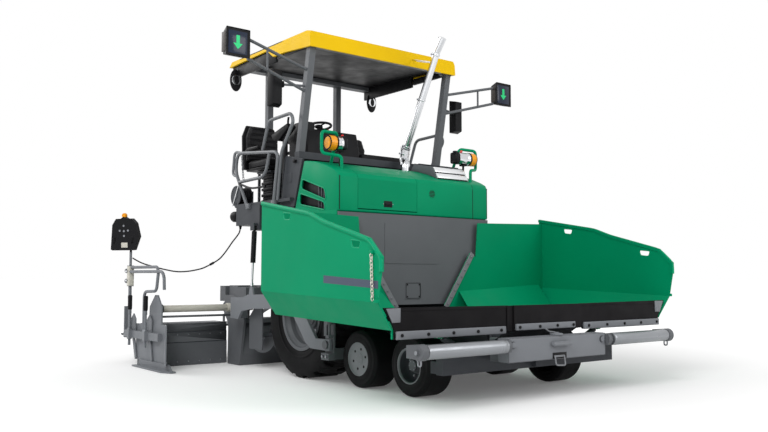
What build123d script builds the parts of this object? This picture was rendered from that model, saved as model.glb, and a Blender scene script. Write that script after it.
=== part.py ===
from build123d import *
import os
from math import cos, radians, sin, tan

# Compact wheeled asphalt paver, stored as parked for paving: hopper wings open, screed down and extended.
# Millimetres. +X points to the hopper, +Y to the left, +Z up. The origin is on the ground at half the length.
# Right is the -Y side: side = -1. Left is side = +1.

SIDES = {"right": -1, "left": 1}

# ---- driving sizes -------------------------------------------------------------------------------------------
gap = 8  # running clearance between pieces of different bodies
# wheels
rear_axle_x = 110
rear_tyre_radius = 546
rear_tyre_width = 365
rear_rim_radius = 305
rear_wheel_y = 728.5
front_tyre_radius = 232.5
front_tyre_width = 250
front_rim_radius = 156
front_wheel_y = 753
kingpin_y = 600
front_axles = {"front": 1595, "middle": 953}
# frame
frame_inner = 425
frame_plate = 25
frame_front_x = 1990
frame_rear_x = -620
frame_bottom = 262
frame_top_front = 505
# body
body_half_width = 889
body_front_x = 680
hood_bottom = 1456
hood_front_top = 1790
hood_rear_top = 1942
hood_rear_x = 129
deck_top = 1620
# canopy
roof_front_x = 225
roof_rear_x = -1330
roof_half_width = 894
# hopper wing
wing_rear_x = 690
wing_front_x = 2225
wing_half_width = 1634
wing_floor_y = 1500
wing_skin = 8
wing_hinge_y = 470
wing_hinge_z = 520
# wing cylinders: pin on the frame and pin on the wing, y and z
wing_cylinder_x = 1950
wing_cylinder_foot = (520, 300)
wing_cylinder_head = (900, 478)
# push beam
push_pivot_x = 2085
roller_x = 2313
roller_z = 410
roller_radius = 48
# screed
tow_pin_x = 620
tow_pin_z = 330
arm_y = 942
arm_plate = 25
lift_y = arm_y + arm_plate / 2
base_half_width = 826
extension_top = 425
end_plate_y = 1615
ground = 0


# ---- shared ways of making a solid -----------------------------------------------------------------------------
def span(side, near, far):
    """Low and high Y of a piece between two distances from the middle plane."""
    return min(side * near, side * far), max(side * near, side * far)


def box(x_span, y_span, z_span, mode=Mode.ADD):
    """A block between three pairs of limits."""
    lows = [min(pair) for pair in (x_span, y_span, z_span)]
    sizes = [max(pair) - min(pair) for pair in (x_span, y_span, z_span)]
    with Locations(tuple(low + size / 2 for low, size in zip(lows, sizes))):
        Box(*sizes, mode=mode)


def outline_plate(plane, points, thickness, mode=Mode.ADD):
    """A plate with a straight-sided outline, from its plane along the plane's normal."""
    with BuildSketch(plane) as face:
        with BuildLine():
            Polyline(*points, close=True)
        make_face()
    extrude(face.sketch, amount=thickness, mode=mode)


def side_plate(points, y_span, mode=Mode.ADD):
    """A plate in an XZ outline between two values of Y."""
    low, high = min(y_span), max(y_span)
    plane = Plane(origin=(0, high, 0), x_dir=(1, 0, 0), z_dir=(0, -1, 0))
    outline_plate(plane, points, high - low, mode)


def cross_plate(points, x_span, mode=Mode.ADD):
    """A plate in a YZ outline between two values of X."""
    low, high = min(x_span), max(x_span)
    plane = Plane(origin=(low, 0, 0), x_dir=(0, 1, 0), z_dir=(1, 0, 0))
    outline_plate(plane, points, high - low, mode)


def floor_plate(points, z_span, mode=Mode.ADD):
    """A plate in an XY outline between two heights."""
    low, high = min(z_span), max(z_span)
    outline_plate(Plane.XY.offset(low), points, high - low, mode)


def bar(start, end, radius, mode=Mode.ADD):
    """A round bar between two points."""
    start, end = Vector(*start), Vector(*end)
    with BuildSketch(Plane(origin=start, z_dir=end - start)) as face:
        Circle(radius)
    extrude(face.sketch, amount=(end - start).length, mode=mode)


def tube(points, radius, bend):
    """A round tube along straight runs with one bend radius."""
    with BuildLine() as route:
        FilletPolyline(*points, radius=bend)
    with BuildSketch(Plane(origin=route.line @ 0, z_dir=route.line % 0)) as face:
        Circle(radius)
    sweep(face.sketch, path=route.line)


def mirrored(points, side):
    """The same points on the other side of the middle plane."""
    return [(x, side * y, z) for x, y, z in points]


def flipped(points, side):
    """A YZ outline on the other side of the middle plane."""
    return [(side * y, z) for y, z in points]


# ---- main frame --------------------------------------------------------------------------------------------------
frame_outline = [
    (frame_front_x, frame_bottom), (frame_front_x, frame_top_front), (740, frame_top_front),
    (740, 460), (690, 460), (660, 480), (640, 760), (-560, 760), (frame_rear_x, 700), (frame_rear_x, frame_bottom),
]
crossbar_half = 960
crossbar_x = (frame_front_x, 2060)
crossbar_z = (207, 342)
with BuildPart() as main_frame:
    for side in SIDES.values():
        side_plate(frame_outline, span(side, frame_inner, frame_inner + frame_plate))
        # final drive housing that carries the rear wheel
        bar((rear_axle_x, side * 650, rear_tyre_radius), (rear_axle_x, side * 742, rear_tyre_radius), 88)
        bar((rear_axle_x, side * frame_inner, rear_tyre_radius), (rear_axle_x, side * 700, rear_tyre_radius), 140)
        # pocket at the end of the crossbar
        box((frame_front_x - 60, frame_front_x + 5), span(side, 850, crossbar_half), (215, 300))
        # clevis and pin of the wing cylinder
        foot_y, foot_z = wing_cylinder_foot
        box((1925, 1975), span(side, frame_inner + 5, foot_y - 27), (265, 335))
        for low in (1925, 1965):
            box((low, low + 10), span(side, foot_y - 35, foot_y + 18), (foot_z - 20, foot_z + 20))
        bar((1925, side * foot_y, foot_z), (1975, side * foot_y, foot_z), 9)
    box((700, frame_front_x), (-frame_inner - 5, frame_inner + 5), (frame_bottom, frame_bottom + 12))
    box((frame_rear_x, -560), (-frame_inner - 5, frame_inner + 5), (frame_bottom, frame_bottom + 26))
    box(crossbar_x, (-crossbar_half, crossbar_half), crossbar_z)
    # sloping lip between the conveyor and the apron
    side_plate([(1960, 395), (2145, 512), (2145, 500), (1960, 383)], (-400, 400))
    box((1940, frame_front_x), (-frame_inner - 5, frame_inner + 5), (383, 400))
    box((2130, 2172), (-265, 265), (498, 530))
    # lug for the push beam's pivot
    box((2055, 2103), (-40, 40), (215, 285))
    box((2000, 2103), (-40, 40), (342, 356))
    bar((push_pivot_x, 0, 280), (push_pivot_x, 0, 350), 12)
    # rear wall behind the engine
    box((-580, -560), (-frame_inner - 5, frame_inner + 5), (620, 760))
    # transverse tube that the bogie rocks on
    bar((1274, -480, 235), (1274, 480, 235), 34)
    box((1234, 1314), (-frame_inner - 20, frame_inner + 20), (240, 270))
main_frame.part.label = "main_frame"

# ---- wing hinge knuckles on the frame --------------------------------------------------------------------------
hinge_radius = 15
frame_knuckles = [(800, 900), (1100, 1200), (1400, 1500), (1700, 1800), (1990, 2090)]
wing_knuckles = [(910, 1090), (1210, 1390), (1510, 1690), (1810, 1980)]
with BuildPart() as wing_hinges:
    for side in SIDES.values():
        for low, high in frame_knuckles:
            bar((low, side * wing_hinge_y, wing_hinge_z), (high, side * wing_hinge_y, wing_hinge_z), hinge_radius)
            top = min(high, frame_front_x)
            if low < frame_front_x:
                box((low, top), span(side, frame_inner, wing_hinge_y), (frame_top_front, wing_hinge_z))
            else:
                box((low, high), span(side, 395, wing_hinge_y), (498, 510))
        bar((790, side * wing_hinge_y, wing_hinge_z), (2095, side * wing_hinge_y, wing_hinge_z), 7)
wing_hinges.part.label = "wing_hinges"

# ---- tow points ------------------------------------------------------------------------------------------------
with BuildPart() as tow_points:
    for side in SIDES.values():
        box((610, 656), span(side, frame_inner + frame_plate, 925), (205, 300))
        box((560, 684), span(side, 918, 934), (205, 1000))
        bar((tow_pin_x, side * 920, tow_pin_z), (tow_pin_x, side * 985, tow_pin_z), 22)
        bar((tow_pin_x, side * 973, tow_pin_z), (tow_pin_x, side * 985, tow_pin_z), 36)
        box((575, 684), span(side, 925, 985), (205, 262))
        # levelling cylinder above the tow point
        box((636, 676), span(side, 930, 980), (388, 412))
        bar((656, side * 958, 410), (656, side * 958, 520), 11)
        bar((656, side * 958, 500), (656, side * 958, 900), 26)
        box((636, 676), span(side, 930, 980), (890, 930))
        box((560, 600), span(side, 934, 950), (400, 1000))
tow_points.part.label = "tow_points"

# ---- bogie ------------------------------------------------------------------------------------------------------
rocker_x = (front_axles["middle"] - 62, front_axles["front"] + 62)
with BuildPart() as bogie:
    for side in SIDES.values():
        box(rocker_x, span(side, 486, 534), (180, 292))
        bar((1274, side * 480, 235), (1274, side * 544, 235), 62)
        for axle_x in front_axles.values():
            for low, high in ((158, 184), (281, 307)):
                box((axle_x - 40, axle_x + 40), span(side, 500, kingpin_y), (low, high))
                bar((axle_x, side * kingpin_y, low), (axle_x, side * kingpin_y, high), 30)
            box((axle_x - 62, axle_x + 62), span(side, 500, 534), (158, 307))
            bar((axle_x, side * kingpin_y, 150), (axle_x, side * kingpin_y, 315), 14)
bogie.part.label = "bogie"

knuckles = {}
for axle, axle_x in front_axles.items():
    for name, side in SIDES.items():
        with BuildPart() as knuckle:
            bar((axle_x, side * kingpin_y, 190), (axle_x, side * kingpin_y, 275), 30)
            bar((axle_x, side * kingpin_y, front_tyre_radius), (axle_x, side * 700, front_tyre_radius), 34)
            bar((axle_x, side * 690, front_tyre_radius), (axle_x, side * 790, front_tyre_radius), 24)
            bar((axle_x, side * kingpin_y, 180), (axle_x, side * kingpin_y, 290), 14.05, Mode.SUBTRACT)
        knuckle.part.label = f"knuckle_{axle}_{name}"
        knuckles[knuckle.part.label] = knuckle.part


# ---- wheels ------------------------------------------------------------------------------------------------------
def turned(x, y, z, side, profile):
    """A solid turned about an axle from (distance out from the wheel's middle plane, radius) pairs."""
    plane = Plane(origin=(x, y, z), x_dir=(0, side, 0), z_dir=(1, 0, 0))
    with BuildSketch(plane) as face:
        with BuildLine():
            Polyline(*profile, close=True)
        make_face()
    revolve(face.sketch, axis=Axis((x, y, z), (0, side, 0)))


rear_half = rear_tyre_width / 2
rear_tyre_profile = [  # out from the middle plane, radius
    (-150, rear_rim_radius - 20), (-165, rear_rim_radius), (-rear_half, 400), (-rear_half, 470),
    (-rear_half + 12, 520), (-rear_half + 34, rear_tyre_radius),
    (rear_half - 34, rear_tyre_radius), (rear_half - 12, 520), (rear_half, 470), (rear_half, 400),
    (165, rear_rim_radius), (150, rear_rim_radius - 20),
]
rear_rim_profile = [
    (-168, rear_rim_radius + 1), (-168, rear_rim_radius - 26), (20, rear_rim_radius - 60), (20, 90), (60, 80),
    (60, 20), (72, 20), (72, 96), (40, 120), (40, rear_rim_radius - 62), (120, rear_rim_radius - 52),
    (150, rear_rim_radius - 30), (168, rear_rim_radius - 26), (168, rear_rim_radius + 1), (150, rear_rim_radius - 20),
    (-150, rear_rim_radius - 20),
]
front_half = front_tyre_width / 2
front_tyre_profile = [
    (-front_half + 12, front_rim_radius), (-front_half, 175), (-front_half, 205), (-front_half + 18, 228),
    (-front_half + 34, front_tyre_radius), (front_half - 34, front_tyre_radius), (front_half - 18, 228),
    (front_half, 205), (front_half, 175), (front_half - 12, front_rim_radius),
]
# The front axle's rims are dished and capped, the middle axle's are flat: the same rim the other way round.
rim_discs = {"front": (20, 34), "middle": (96, 110)}
cap_ends = {"front": (34, 92), "middle": (110, 112)}

rear_wheels = {}
for name, side in SIDES.items():
    place = (rear_axle_x, side * rear_wheel_y, rear_tyre_radius)
    with BuildPart() as tyre:
        turned(*place, side, rear_tyre_profile)
    tyre.part.label = f"tyre_rear_{name}"
    with BuildPart() as rim:
        turned(*place, side, rear_rim_profile)
    rim.part.label = f"rim_rear_{name}"
    rear_wheels[tyre.part.label] = tyre.part
    rear_wheels[rim.part.label] = rim.part

front_wheels = {}
for axle, axle_x in front_axles.items():
    for name, side in SIDES.items():
        place = (axle_x, side * front_wheel_y, front_tyre_radius)
        disc_in, disc_out = rim_discs[axle]
        cap_in, cap_out = cap_ends[axle]
        with BuildPart() as wheel:
            turned(*place, side, front_tyre_profile)
            turned(*place, side, [
                (-front_half + 8, front_rim_radius + 6), (-front_half + 8, front_rim_radius - 8),
                (front_half - 8, front_rim_radius - 8), (front_half - 8, front_rim_radius + 6),
            ])
            turned(*place, side, [
                (disc_in, 26), (disc_in, front_rim_radius - 4), (disc_out, front_rim_radius - 4), (disc_out, 26),
            ])
            turned(*place, side, [(cap_in - 16, 26), (cap_in - 16, 48), (cap_out, 44), (cap_out, 26)])
            with Locations(Location(place) * Location((0, side * (cap_out - 5), 0))):
                Cylinder(30, 10, rotation=(90, 0, 0))
        wheel.part.label = f"wheel_{axle}_{name}"
        front_wheels[wheel.part.label] = wheel.part

# ---- conveyor -----------------------------------------------------------------------------------------------------
conveyor_half = 408
with BuildPart() as conveyor:
    box((-540, 1935), (-conveyor_half, conveyor_half), (350, 362))
    for x in range(-520, 1930, 240):
        box((x, x + 40), (-conveyor_half, conveyor_half), (355, 385))
    for x in (-530, 1895):
        bar((x, -conveyor_half, 340), (x, conveyor_half, 340), 42)
    box((-540, 1935), (-12, 12), (355, 400))
conveyor.part.label = "conveyor"

# ---- bulkhead, engine and body ------------------------------------------------------------------------------------
bulkhead_x = (664, body_front_x)
with BuildPart() as bulkhead:
    cross_plate([
        (-body_half_width, 650), (body_half_width, 650), (body_half_width, hood_bottom - 4),
        (-body_half_width, hood_bottom - 4),
    ], bulkhead_x)
    box((body_front_x, body_front_x + 4), (-393, 239), (1016, 1372))
    box((body_front_x, body_front_x + 4), (-159, 10), (698, 849))
bulkhead.part.label = "bulkhead"

with BuildPart() as engine_block:
    box((-60, 560), (-360, 360), (790, 1400))
engine_block.part.label = "engine_block"

# cowl side in XZ, from the rear foot round the top to the front foot
cowl_side = [
    (-30, 1456), (-14, 1527), (hood_rear_x, hood_rear_top), (300, 1920), (470, 1872), (600, 1822),
    (660, 1790), (body_front_x, 1750), (body_front_x, hood_bottom),
]
seam_right = -685
seam_middle = -20
seam_left = 688
skin = 12
with BuildPart() as hood:
    side_plate(cowl_side, (-body_half_width, body_half_width))
    # hollow under the skins, open below
    side_plate([
        (-30, 1440), (-2, 1520), (hood_rear_x + 10, hood_rear_top - 20), (300, 1905), (470, 1857), (595, 1808),
        (648, 1776), (body_front_x - skin, 1745), (body_front_x - skin, 1440),
    ], (-body_half_width + skin, body_half_width - skin), Mode.SUBTRACT)
    # opening that the lid fills
    side_plate([
        (300, 1890), (300, 1990), (720, 1990), (720, 1480), (640, 1480), (640, 1700), (560, 1780),
    ], (seam_right - 4, seam_middle + 4), Mode.SUBTRACT)
    # side vents
    for side in SIDES.values():
        for low_x, low_z in ((165, 1735), (110, 1600), (60, 1490)):
            side_plate([
                (low_x, low_z), (low_x + 10, low_z + 48), (low_x + 300, low_z - 72), (low_x + 308, low_z - 118),
            ], span(side, body_half_width - 40, body_half_width + 5), Mode.SUBTRACT)
    # lower body over the rear wheels
    for side in SIDES.values():
        box((-560, 650), span(side, 470, body_half_width), (1106, 1470))
        box((-560, 650), span(side, 460, 478), (770, 1440))
    box((-560, -540), (-body_half_width + 5, body_half_width - 5), (770, 1470))
    # lamp guards, bent green tube
    for side in SIDES.values():
        for x in (415, 525):
            tube(mirrored([
                (x, 790, 1800), (x, 790, 1930), (x, 912, 1965), (x, 912, 2205), (x, 720, 2212),
            ], side), 11, 34)
        bar((415, side * 740, 2211), (525, side * 740, 2211), 10)
        # stem of the work lamp
        bar((450, side * 790, 1850), (450, side * 790, 2005), 14)
hood.part.label = "hood"

with BuildPart() as hood_lid:
    side_plate([
        (308, 1918), (470, 1872), (600, 1822), (660, 1790), (body_front_x, 1750), (body_front_x, 1488),
        (body_front_x - skin, 1488), (body_front_x - skin, 1744), (650, 1776), (594, 1806), (466, 1856), (308, 1902),
    ], (seam_right, seam_middle))
hood_lid.part.label = "hood_lid"

cooler_y = (250, 700)
with BuildPart() as cooler_box:
    side_plate([(340, 1908.8), (330, 1985), (560, 1960), (600, 1822), (470, 1872)], cooler_y)
    for z in (1850, 1905):
        box((575, 612), (cooler_y[0] + 150, cooler_y[1]), (z, z + 26))
cooler_box.part.label = "cooler_box"

with BuildPart() as exhaust:
    tube([(200, 240, 1860), (200, 240, 2010), (110, 300, 2030), (130, 300, 2190)], 46, 55)
    bar((112, 300, 2100), (620, 300, 3080), 33)
    bar((600, 300, 3042), (690, 300, 3160), 34)
    bar((520, 300, 2960), (240, 300, 3040), 9)
    side_plate(cowl_side, (150, 350), Mode.SUBTRACT)
exhaust.part.label = "exhaust"

# ---- platform -----------------------------------------------------------------------------------------------------
deck_outline = [
    (-40, -930), (-1090, -930), (-1090, -540), (-1330, -540), (-1330, 540), (-1090, 540), (-1090, 930), (-40, 930),
]
with BuildPart() as deck:
    floor_plate(deck_outline, (deck_top - 30, deck_top))
    for side in SIDES.values():
        # side panel between cowl and platform
        side_plate([
            (-251, 1627), (-180, 2023), (108, 1966), (-20, 1545), (-90, 1545), (-90, 1627),
        ], span(side, body_half_width - 18, body_half_width))
        # supports on the body
        box((-540, -60), span(side, 500, 870), (1470, deck_top - 30))
        # boxes under the rear corners
        box((-1063, -753), span(side, 780, 930), (1406, 1592))
        box((-753, -572), span(side, 780, 940), (1347, 1592))
        # clevis of the lift cylinder
        box((-670, -610), span(side, 935, lift_y + 26), (1392, 1412))
        box((-670, -610), span(side, lift_y + 15, lift_y + 26), (1344, 1412))
        bar((-640, side * 935, 1360), (-640, side * (lift_y + 26), 1360), 9)
        box((-1100, -1080), span(side, 900, 930), (1600, 1640))
    # cross members under the floor
    for x in (-1300, -900, -640):
        box((x, x + 40), (-520, 520), (1500, 1592))
    box((-640, -562), (-770, 770), (1440, 1592))
    # beam across the front of the platform
    box((-60, 20), (-body_half_width + 18, body_half_width - 18), (1980, 2045))
    box((-40, -20), (-body_half_width + 20, body_half_width - 20), (1592, 2000))
deck.part.label = "deck"

with BuildPart() as console:
    side_plate([(-430, 1620), (-430, 2180), (-520, 2230), (-500, 2330), (-120, 2330), (-60, 2120), (-60, 1620)], (-560, -40))
    side_plate([(-350, 1620), (-350, 2120), (-60, 2120), (-60, 1620)], (-40, 520))
    bar((-420, -300, 2300), (-455, -300, 2395), 22)
    with BuildSketch(Plane(origin=(-462, -300, 2410), z_dir=(-0.3, 0, 1))):
        Circle(205)
        Circle(180, mode=Mode.SUBTRACT)
        Rectangle(365, 26)
        Rectangle(26, 365)
        Circle(42)
    extrude(amount=22, both=False)
    bar((-300, -160, 2440), (-300, -160, 2500), 24)
    box((-312, -288), (-172, -148), (2300, 2445))
console.part.label = "console"

with BuildPart() as seats:
    for y in (-620, 560):
        box((-1080, -640), (y - 230, y + 230), (1990, 2090))
        side_plate([(-1180, 2060), (-1090, 2060), (-1110, 2480), (-1190, 2480)], (y - 220, y + 220))
        box((-1000, -740), (y - 130, y + 130), (deck_top, 1990))
seats.part.label = "seats"

rail_radius = 19
with BuildPart() as handrails:
    for side in SIDES.values():
        y_rail = 912
        tube(mirrored([
            (-238, y_rail, deck_top - 10), (-165, y_rail, 2074), (4, y_rail, 2330), (-60, y_rail, 2398),
            (-453, y_rail, 2367), (-534, y_rail, 2126), (-600, y_rail, deck_top - 10),
        ], side), rail_radius, 60)
        tube(mirrored([
            (-287, y_rail + 40, deck_top - 60), (-298, y_rail + 40, 2073), (-910, y_rail + 40, 2131),
            (-1050, y_rail + 40, 1983), (-997, y_rail + 40, 1839), (-786, y_rail + 40, deck_top - 60),
        ], side), rail_radius, 70)
        tube(mirrored([
            (-990, y_rail + 40, 1840), (-522, y_rail + 40, 1856), (-400, y_rail + 40, 2060), (-380, y_rail + 40, 2082),
        ], side), rail_radius, 15)
        box((-700, -150), span(side, 880, 930), (deck_top - 40, deck_top), Mode.SUBTRACT)
        for x in (-287, -786):
            box((x - 30, x + 30), span(side, 930, y_rail + 62), (deck_top - 60, deck_top - 10))
handrails.part.label = "handrails"

# ---- canopy -------------------------------------------------------------------------------------------------------
roof_side = [
    (roof_front_x, 2979), (-237, 3015), (-436, 3016), (-555, 3102), (roof_rear_x, 3085), (roof_rear_x, 3180),
    (-1100, 3245), (-700, 3262), (-340, 3240), (-60, 3200), (roof_front_x - 12, 3125),
]
roof_section = [
    (-roof_half_width, 2960), (-roof_half_width, 3085), (-roof_half_width + 30, 3150), (-640, 3215), (-300, 3250),
    (0, 3262), (300, 3250), (640, 3215), (roof_half_width - 30, 3150), (roof_half_width, 3085), (roof_half_width, 2960),
]
with BuildPart() as canopy_roof:
    side_plate(roof_side, (-roof_half_width, roof_half_width))
    cross_plate(roof_section, (roof_rear_x - 20, roof_front_x + 20), Mode.INTERSECT)
    # hollow below, under the skirt
    side_plate([
        (roof_front_x - 22, 2900), (roof_front_x - 30, 3055), (-340, 3150), (-1100, 3150), (roof_rear_x + 26, 3110),
        (roof_rear_x + 26, 2900),
    ], (-roof_half_width + 24, roof_half_width - 24), Mode.SUBTRACT)
canopy_roof.part.label = "canopy_roof"

# posts: foot x, head x, y, foot z, head z, half width
front_post = (-22, 158, 834, 2045, 3020, 32)
rear_post = (-1268, -1268, 443, deck_top, 3070, 32)


def front_post_x(z):
    """Middle of the leaning front post at a height."""
    foot_x, head_x, _, foot_z, head_z, _ = front_post
    return foot_x + (head_x - foot_x) * (z - foot_z) / (head_z - foot_z)


head_inner_y = 1500
with BuildPart() as canopy_frame:
    for side in SIDES.values():
        for foot_x, head_x, y, foot_z, head_z, half in (front_post, rear_post):
            side_plate([(foot_x - half, foot_z), (head_x - half, head_z), (head_x + half, head_z),
                        (foot_x + half, foot_z)], span(side, y - half, y + half))
        # signal arm: twin tubes and a strut
        for post_z, head_z in ((2785, 2945), (2592, 2775)):
            bar((front_post_x(post_z), side * 850, post_z), (170, side * 1510, head_z), 14)
        bar((150, side * 1290, 2705), (150, side * 1290, 2895), 10)
        box((100, 240), span(side, head_inner_y, 1560), (2740, 3020), Mode.SUBTRACT)
        # mirror bracket
        bar((front_post_x(2640), side * 850, 2640), (0, side * 1060, 2640), 11)
        box((-60, 60), span(side, 1052, 1080), (2600, 2680), Mode.SUBTRACT)
        # hanger for the small oval mirror
        bar((-1200, side * 850, 3100), (-1200, side * 885, 2980), 10)
        bar((-1220, side * 885, 2930), (-1180, side * 885, 2930), 62, Mode.SUBTRACT)
    box((105, 175), (-866, 866), (3000, 3050))
    box((-1300, -1190), (-866, 866), (3058, 3100))
canopy_frame.part.label = "canopy_frame"

with BuildPart() as lamps_and_mirrors:
    for side in SIDES.values():
        # signal heads at the arms' ends
        with BuildSketch(Plane(origin=(120, side * 1615, 2880), x_dir=(0, 1, 0), z_dir=(1, 0, 0))) as face:
            RectangleRounded(230, 250, 32)
        extrude(face.sketch, amount=105)
        # mirror housings
        with BuildSketch(Plane(origin=(-45, side * 1115, 2605), x_dir=(0, 1, 0), z_dir=(1, 0, 0))) as face:
            RectangleRounded(126, 350, 22)
        extrude(face.sketch, amount=85)
        # work lamps on the hood corners
        with BuildSketch(Plane(origin=(395, side * 795, 2092), x_dir=(0, 1, 0), z_dir=(1, 0, 0))) as face:
            RectangleRounded(190, 174, 40)
        extrude(face.sketch, amount=110)
        # oval mirrors under the roof
        bar((-1212, side * 885, 2930), (-1188, side * 885, 2930), 62)
        # rear work lamps
        bar((-1190, side * 880, 1507), (-1100, side * 880, 1507), 55)
        box((-1110, -1063), span(side, 865, 895), (1495, 1520))
    # cable reel
    bar((-1090, -1010, 1745), (-1090, -870, 1745), 105)
lamps_and_mirrors.part.label = "lamps_and_mirrors"

# ---- hopper wings -------------------------------------------------------------------------------------------------
# distance out and height of the skin's outer face: at the rear, at the front
wing_section = [  # y, z rear, z front
    (486, 512, 512), (wing_floor_y, 600, 545), (wing_half_width, 787, 730), (wing_half_width, 1480, 1480),
]
wing_top = [  # x, z along the top edge
    (wing_rear_x, 1472), (1380, 1352), (1560, 1285), (2090, 1140), (wing_front_x, 1020), (wing_front_x, 930),
    (2185, 720), (2160, 560), (2160, 470), (2300, 470), (2300, 1600), (600, 1600), (600, 1472),
]
wing_edge = [  # x, z of the strip round the top edge, over the top and back underneath
    (wing_rear_x, 1487), (1384, 1365), (1565, 1298), (2096, 1153), (2229, 1027), (2229, 930), (2203, 930), (2203, 1014),
    (2083, 1129), (1556, 1273), (1375, 1341), (wing_rear_x, 1460),
]
rear_wall_x = {"right": 702, "left": 722}
rear_wall_outline = [
    (703, 1412), (674, 1084), (636, 1108), (301, 611), (330, 590), (500, 528), (wing_floor_y, 604),
    (wing_half_width - 2, 786), (wing_half_width - 2, 1440),
]


def wing_skin_section(column):
    """Closed outline of the floor, flare and side wall, with the heights in one column of wing_section."""
    outer = [(row[0], row[column]) for row in wing_section]
    inner = [(486, outer[0][1] + wing_skin), (wing_floor_y - 3, outer[1][1] + wing_skin),
             (wing_half_width - wing_skin, outer[2][1] + 3), (wing_half_width - wing_skin, outer[3][1])]
    return outer + inner[::-1]


wings = {}
aprons = {}
for name, side in SIDES.items():
    with BuildPart() as wing:
        for x, column in ((wing_rear_x, 1), (wing_front_x, 2)):
            with BuildSketch(Plane(origin=(x, 0, 0), x_dir=(0, 1, 0), z_dir=(1, 0, 0))):
                with BuildLine():
                    Polyline(*wing_skin_section(column), close=True)
                make_face()
        loft(ruled=True)
        if side < 0:
            mirror(about=Plane.XZ, mode=Mode.REPLACE)
        side_plate(wing_top, span(side, wing_floor_y - 60, wing_half_width + 5), Mode.SUBTRACT)
        box((2152, 2300), span(side, 400, wing_floor_y - 8), (500, 620), Mode.SUBTRACT)
        # front and rear slots in the side wall
        for x, z in ((1067, 1352), (1943, 1118)):
            side_plate([(x - 58, z + 30), (x + 58, z + 18), (x + 42, z - 32), (x - 46, z - 22)],
                       span(side, wing_half_width - 20, wing_half_width + 5), Mode.SUBTRACT)
        wall_x = rear_wall_x[name]
        cross_plate(flipped(rear_wall_outline, side), (wall_x, wall_x + 10))
        # wear strip on the rear wall's slanting edge
        cross_plate(flipped([(640, 1112), (600, 1124), (268, 640), (300, 611)], side), (wall_x + 2, wall_x + 14))
        # lip under the front edge, for the apron
        box((2140, 2152), span(side, 486, 1490), (490, 552))
        # rolled top edge
        side_plate(wing_edge, span(side, wing_half_width - 17, wing_half_width + 9))
        # hinge knuckles
        for low, high in wing_knuckles:
            bar((low, side * wing_hinge_y, wing_hinge_z), (high, side * wing_hinge_y, wing_hinge_z), hinge_radius)
            box((low, high), span(side, wing_hinge_y, 500), (510, 520))
            bar((low - 5, side * wing_hinge_y, wing_hinge_z), (high + 5, side * wing_hinge_y, wing_hinge_z), 8,
                Mode.SUBTRACT)
        # clevis of the wing cylinder with the pin's ends
        head_y, head_z = wing_cylinder_head
        for low in (1925, 1965):
            box((low, low + 10), span(side, head_y - 22, head_y + 22), (head_z - 18, 532))
        for low in (1919, 1975):
            bar((low, side * head_y, head_z), (low + 6, side * head_y, head_z), 13)
    wing.part.label = f"wing_{name}"
    wings[wing.part.label] = wing.part
    with BuildPart() as apron:
        # the lower inner corner is cut away, so that it clears the push beam as the wing folds
        cross_plate(flipped([(409, 535), (409, 690), (1570, 697), (1480, 560), (1480, 488), (450, 488)], side),
                    (2152, 2164))
        box((2164, 2176), span(side, 450, 1465), (490, 539))
    apron.part.label = f"apron_{name}"
    aprons[apron.part.label] = apron.part

with BuildPart() as apron_centre:
    box((2172, 2184), (-364, 364), (500, 690))
    box((2184, 2196), (-355, 310), (512, 548))
apron_centre.part.label = "apron_centre"

wing_cylinders = {}
for name, side in SIDES.items():
    foot = Vector(wing_cylinder_x, side * wing_cylinder_foot[0], wing_cylinder_foot[1])
    head = Vector(wing_cylinder_x, side * wing_cylinder_head[0], wing_cylinder_head[1])
    way = (head - foot).normalized()
    reach = (head - foot).length
    with BuildPart() as barrel:
        bar(foot + way * 30, foot + way * (reach - 42), 24)
        bar(foot + way * 60, foot + way * (reach - 30), 12.5, Mode.SUBTRACT)
        bar(foot + way * 5, foot + way * 35, 10)
        bar(foot - Vector(12, 0, 0), foot + Vector(12, 0, 0), 21)
        bar(foot - Vector(13, 0, 0), foot + Vector(13, 0, 0), 9.05, Mode.SUBTRACT)
    barrel.part.label = f"wing_barrel_{name}"
    with BuildPart() as rod:
        bar(head - Vector(13, 0, 0), head + Vector(13, 0, 0), 22)
        bar(foot + way * 70, head - way * 17, 12)
    rod.part.label = f"wing_rod_{name}"
    wing_cylinders[barrel.part.label] = barrel.part
    wing_cylinders[rod.part.label] = rod.part

# ---- push beam and rollers ----------------------------------------------------------------------------------------
with BuildPart() as push_beam:
    box((2195, 2300), (-550, 550), (290, 460))
    box((2118, 2200), (-550, 550), (290, 438))
    box((push_pivot_x, 2125), (-24, 24), (291, 336))
    bar((push_pivot_x, 0, 291), (push_pivot_x, 0, 336), 24)
    bar((push_pivot_x, 0, 285), (push_pivot_x, 0, 345), 12.05, Mode.SUBTRACT)
    for side in SIDES.values():
        box((2190, 2245), span(side, 540, 1400), (376, 444))
        side_plate([(2190, 368), (2190, 452), (2300, 462), (2340, 452), (2352, 420), (2352, 395), (2330, 362)],
                   span(side, 1352, 1400))
        side_plate([(2245, 368), (2245, 452), (2330, 452), (2330, 368)], span(side, 550, 592))
        bar((roller_x, side * 585, roller_z), (roller_x, side * 1405, roller_z), 20)
    # tow hook plate with its opening
    with BuildSketch(Plane.XY.offset(392)):
        with Locations((2318, 0)):
            RectangleRounded(50, 190, 22)
    extrude(amount=22)
    # notch under the hook
    box((2280, 2310), (-75, 75), (280, 330), Mode.SUBTRACT)
push_beam.part.label = "push_beam"

push_rollers = {}
for name, side in SIDES.items():
    with BuildPart() as roller:
        bar((roller_x, side * 602, roller_z), (roller_x, side * 1342, roller_z), roller_radius)
        bar((roller_x, side * 600, roller_z), (roller_x, side * 1350, roller_z), 20.5, Mode.SUBTRACT)
    roller.part.label = f"push_roller_{name}"
    push_rollers[roller.part.label] = roller.part

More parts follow.
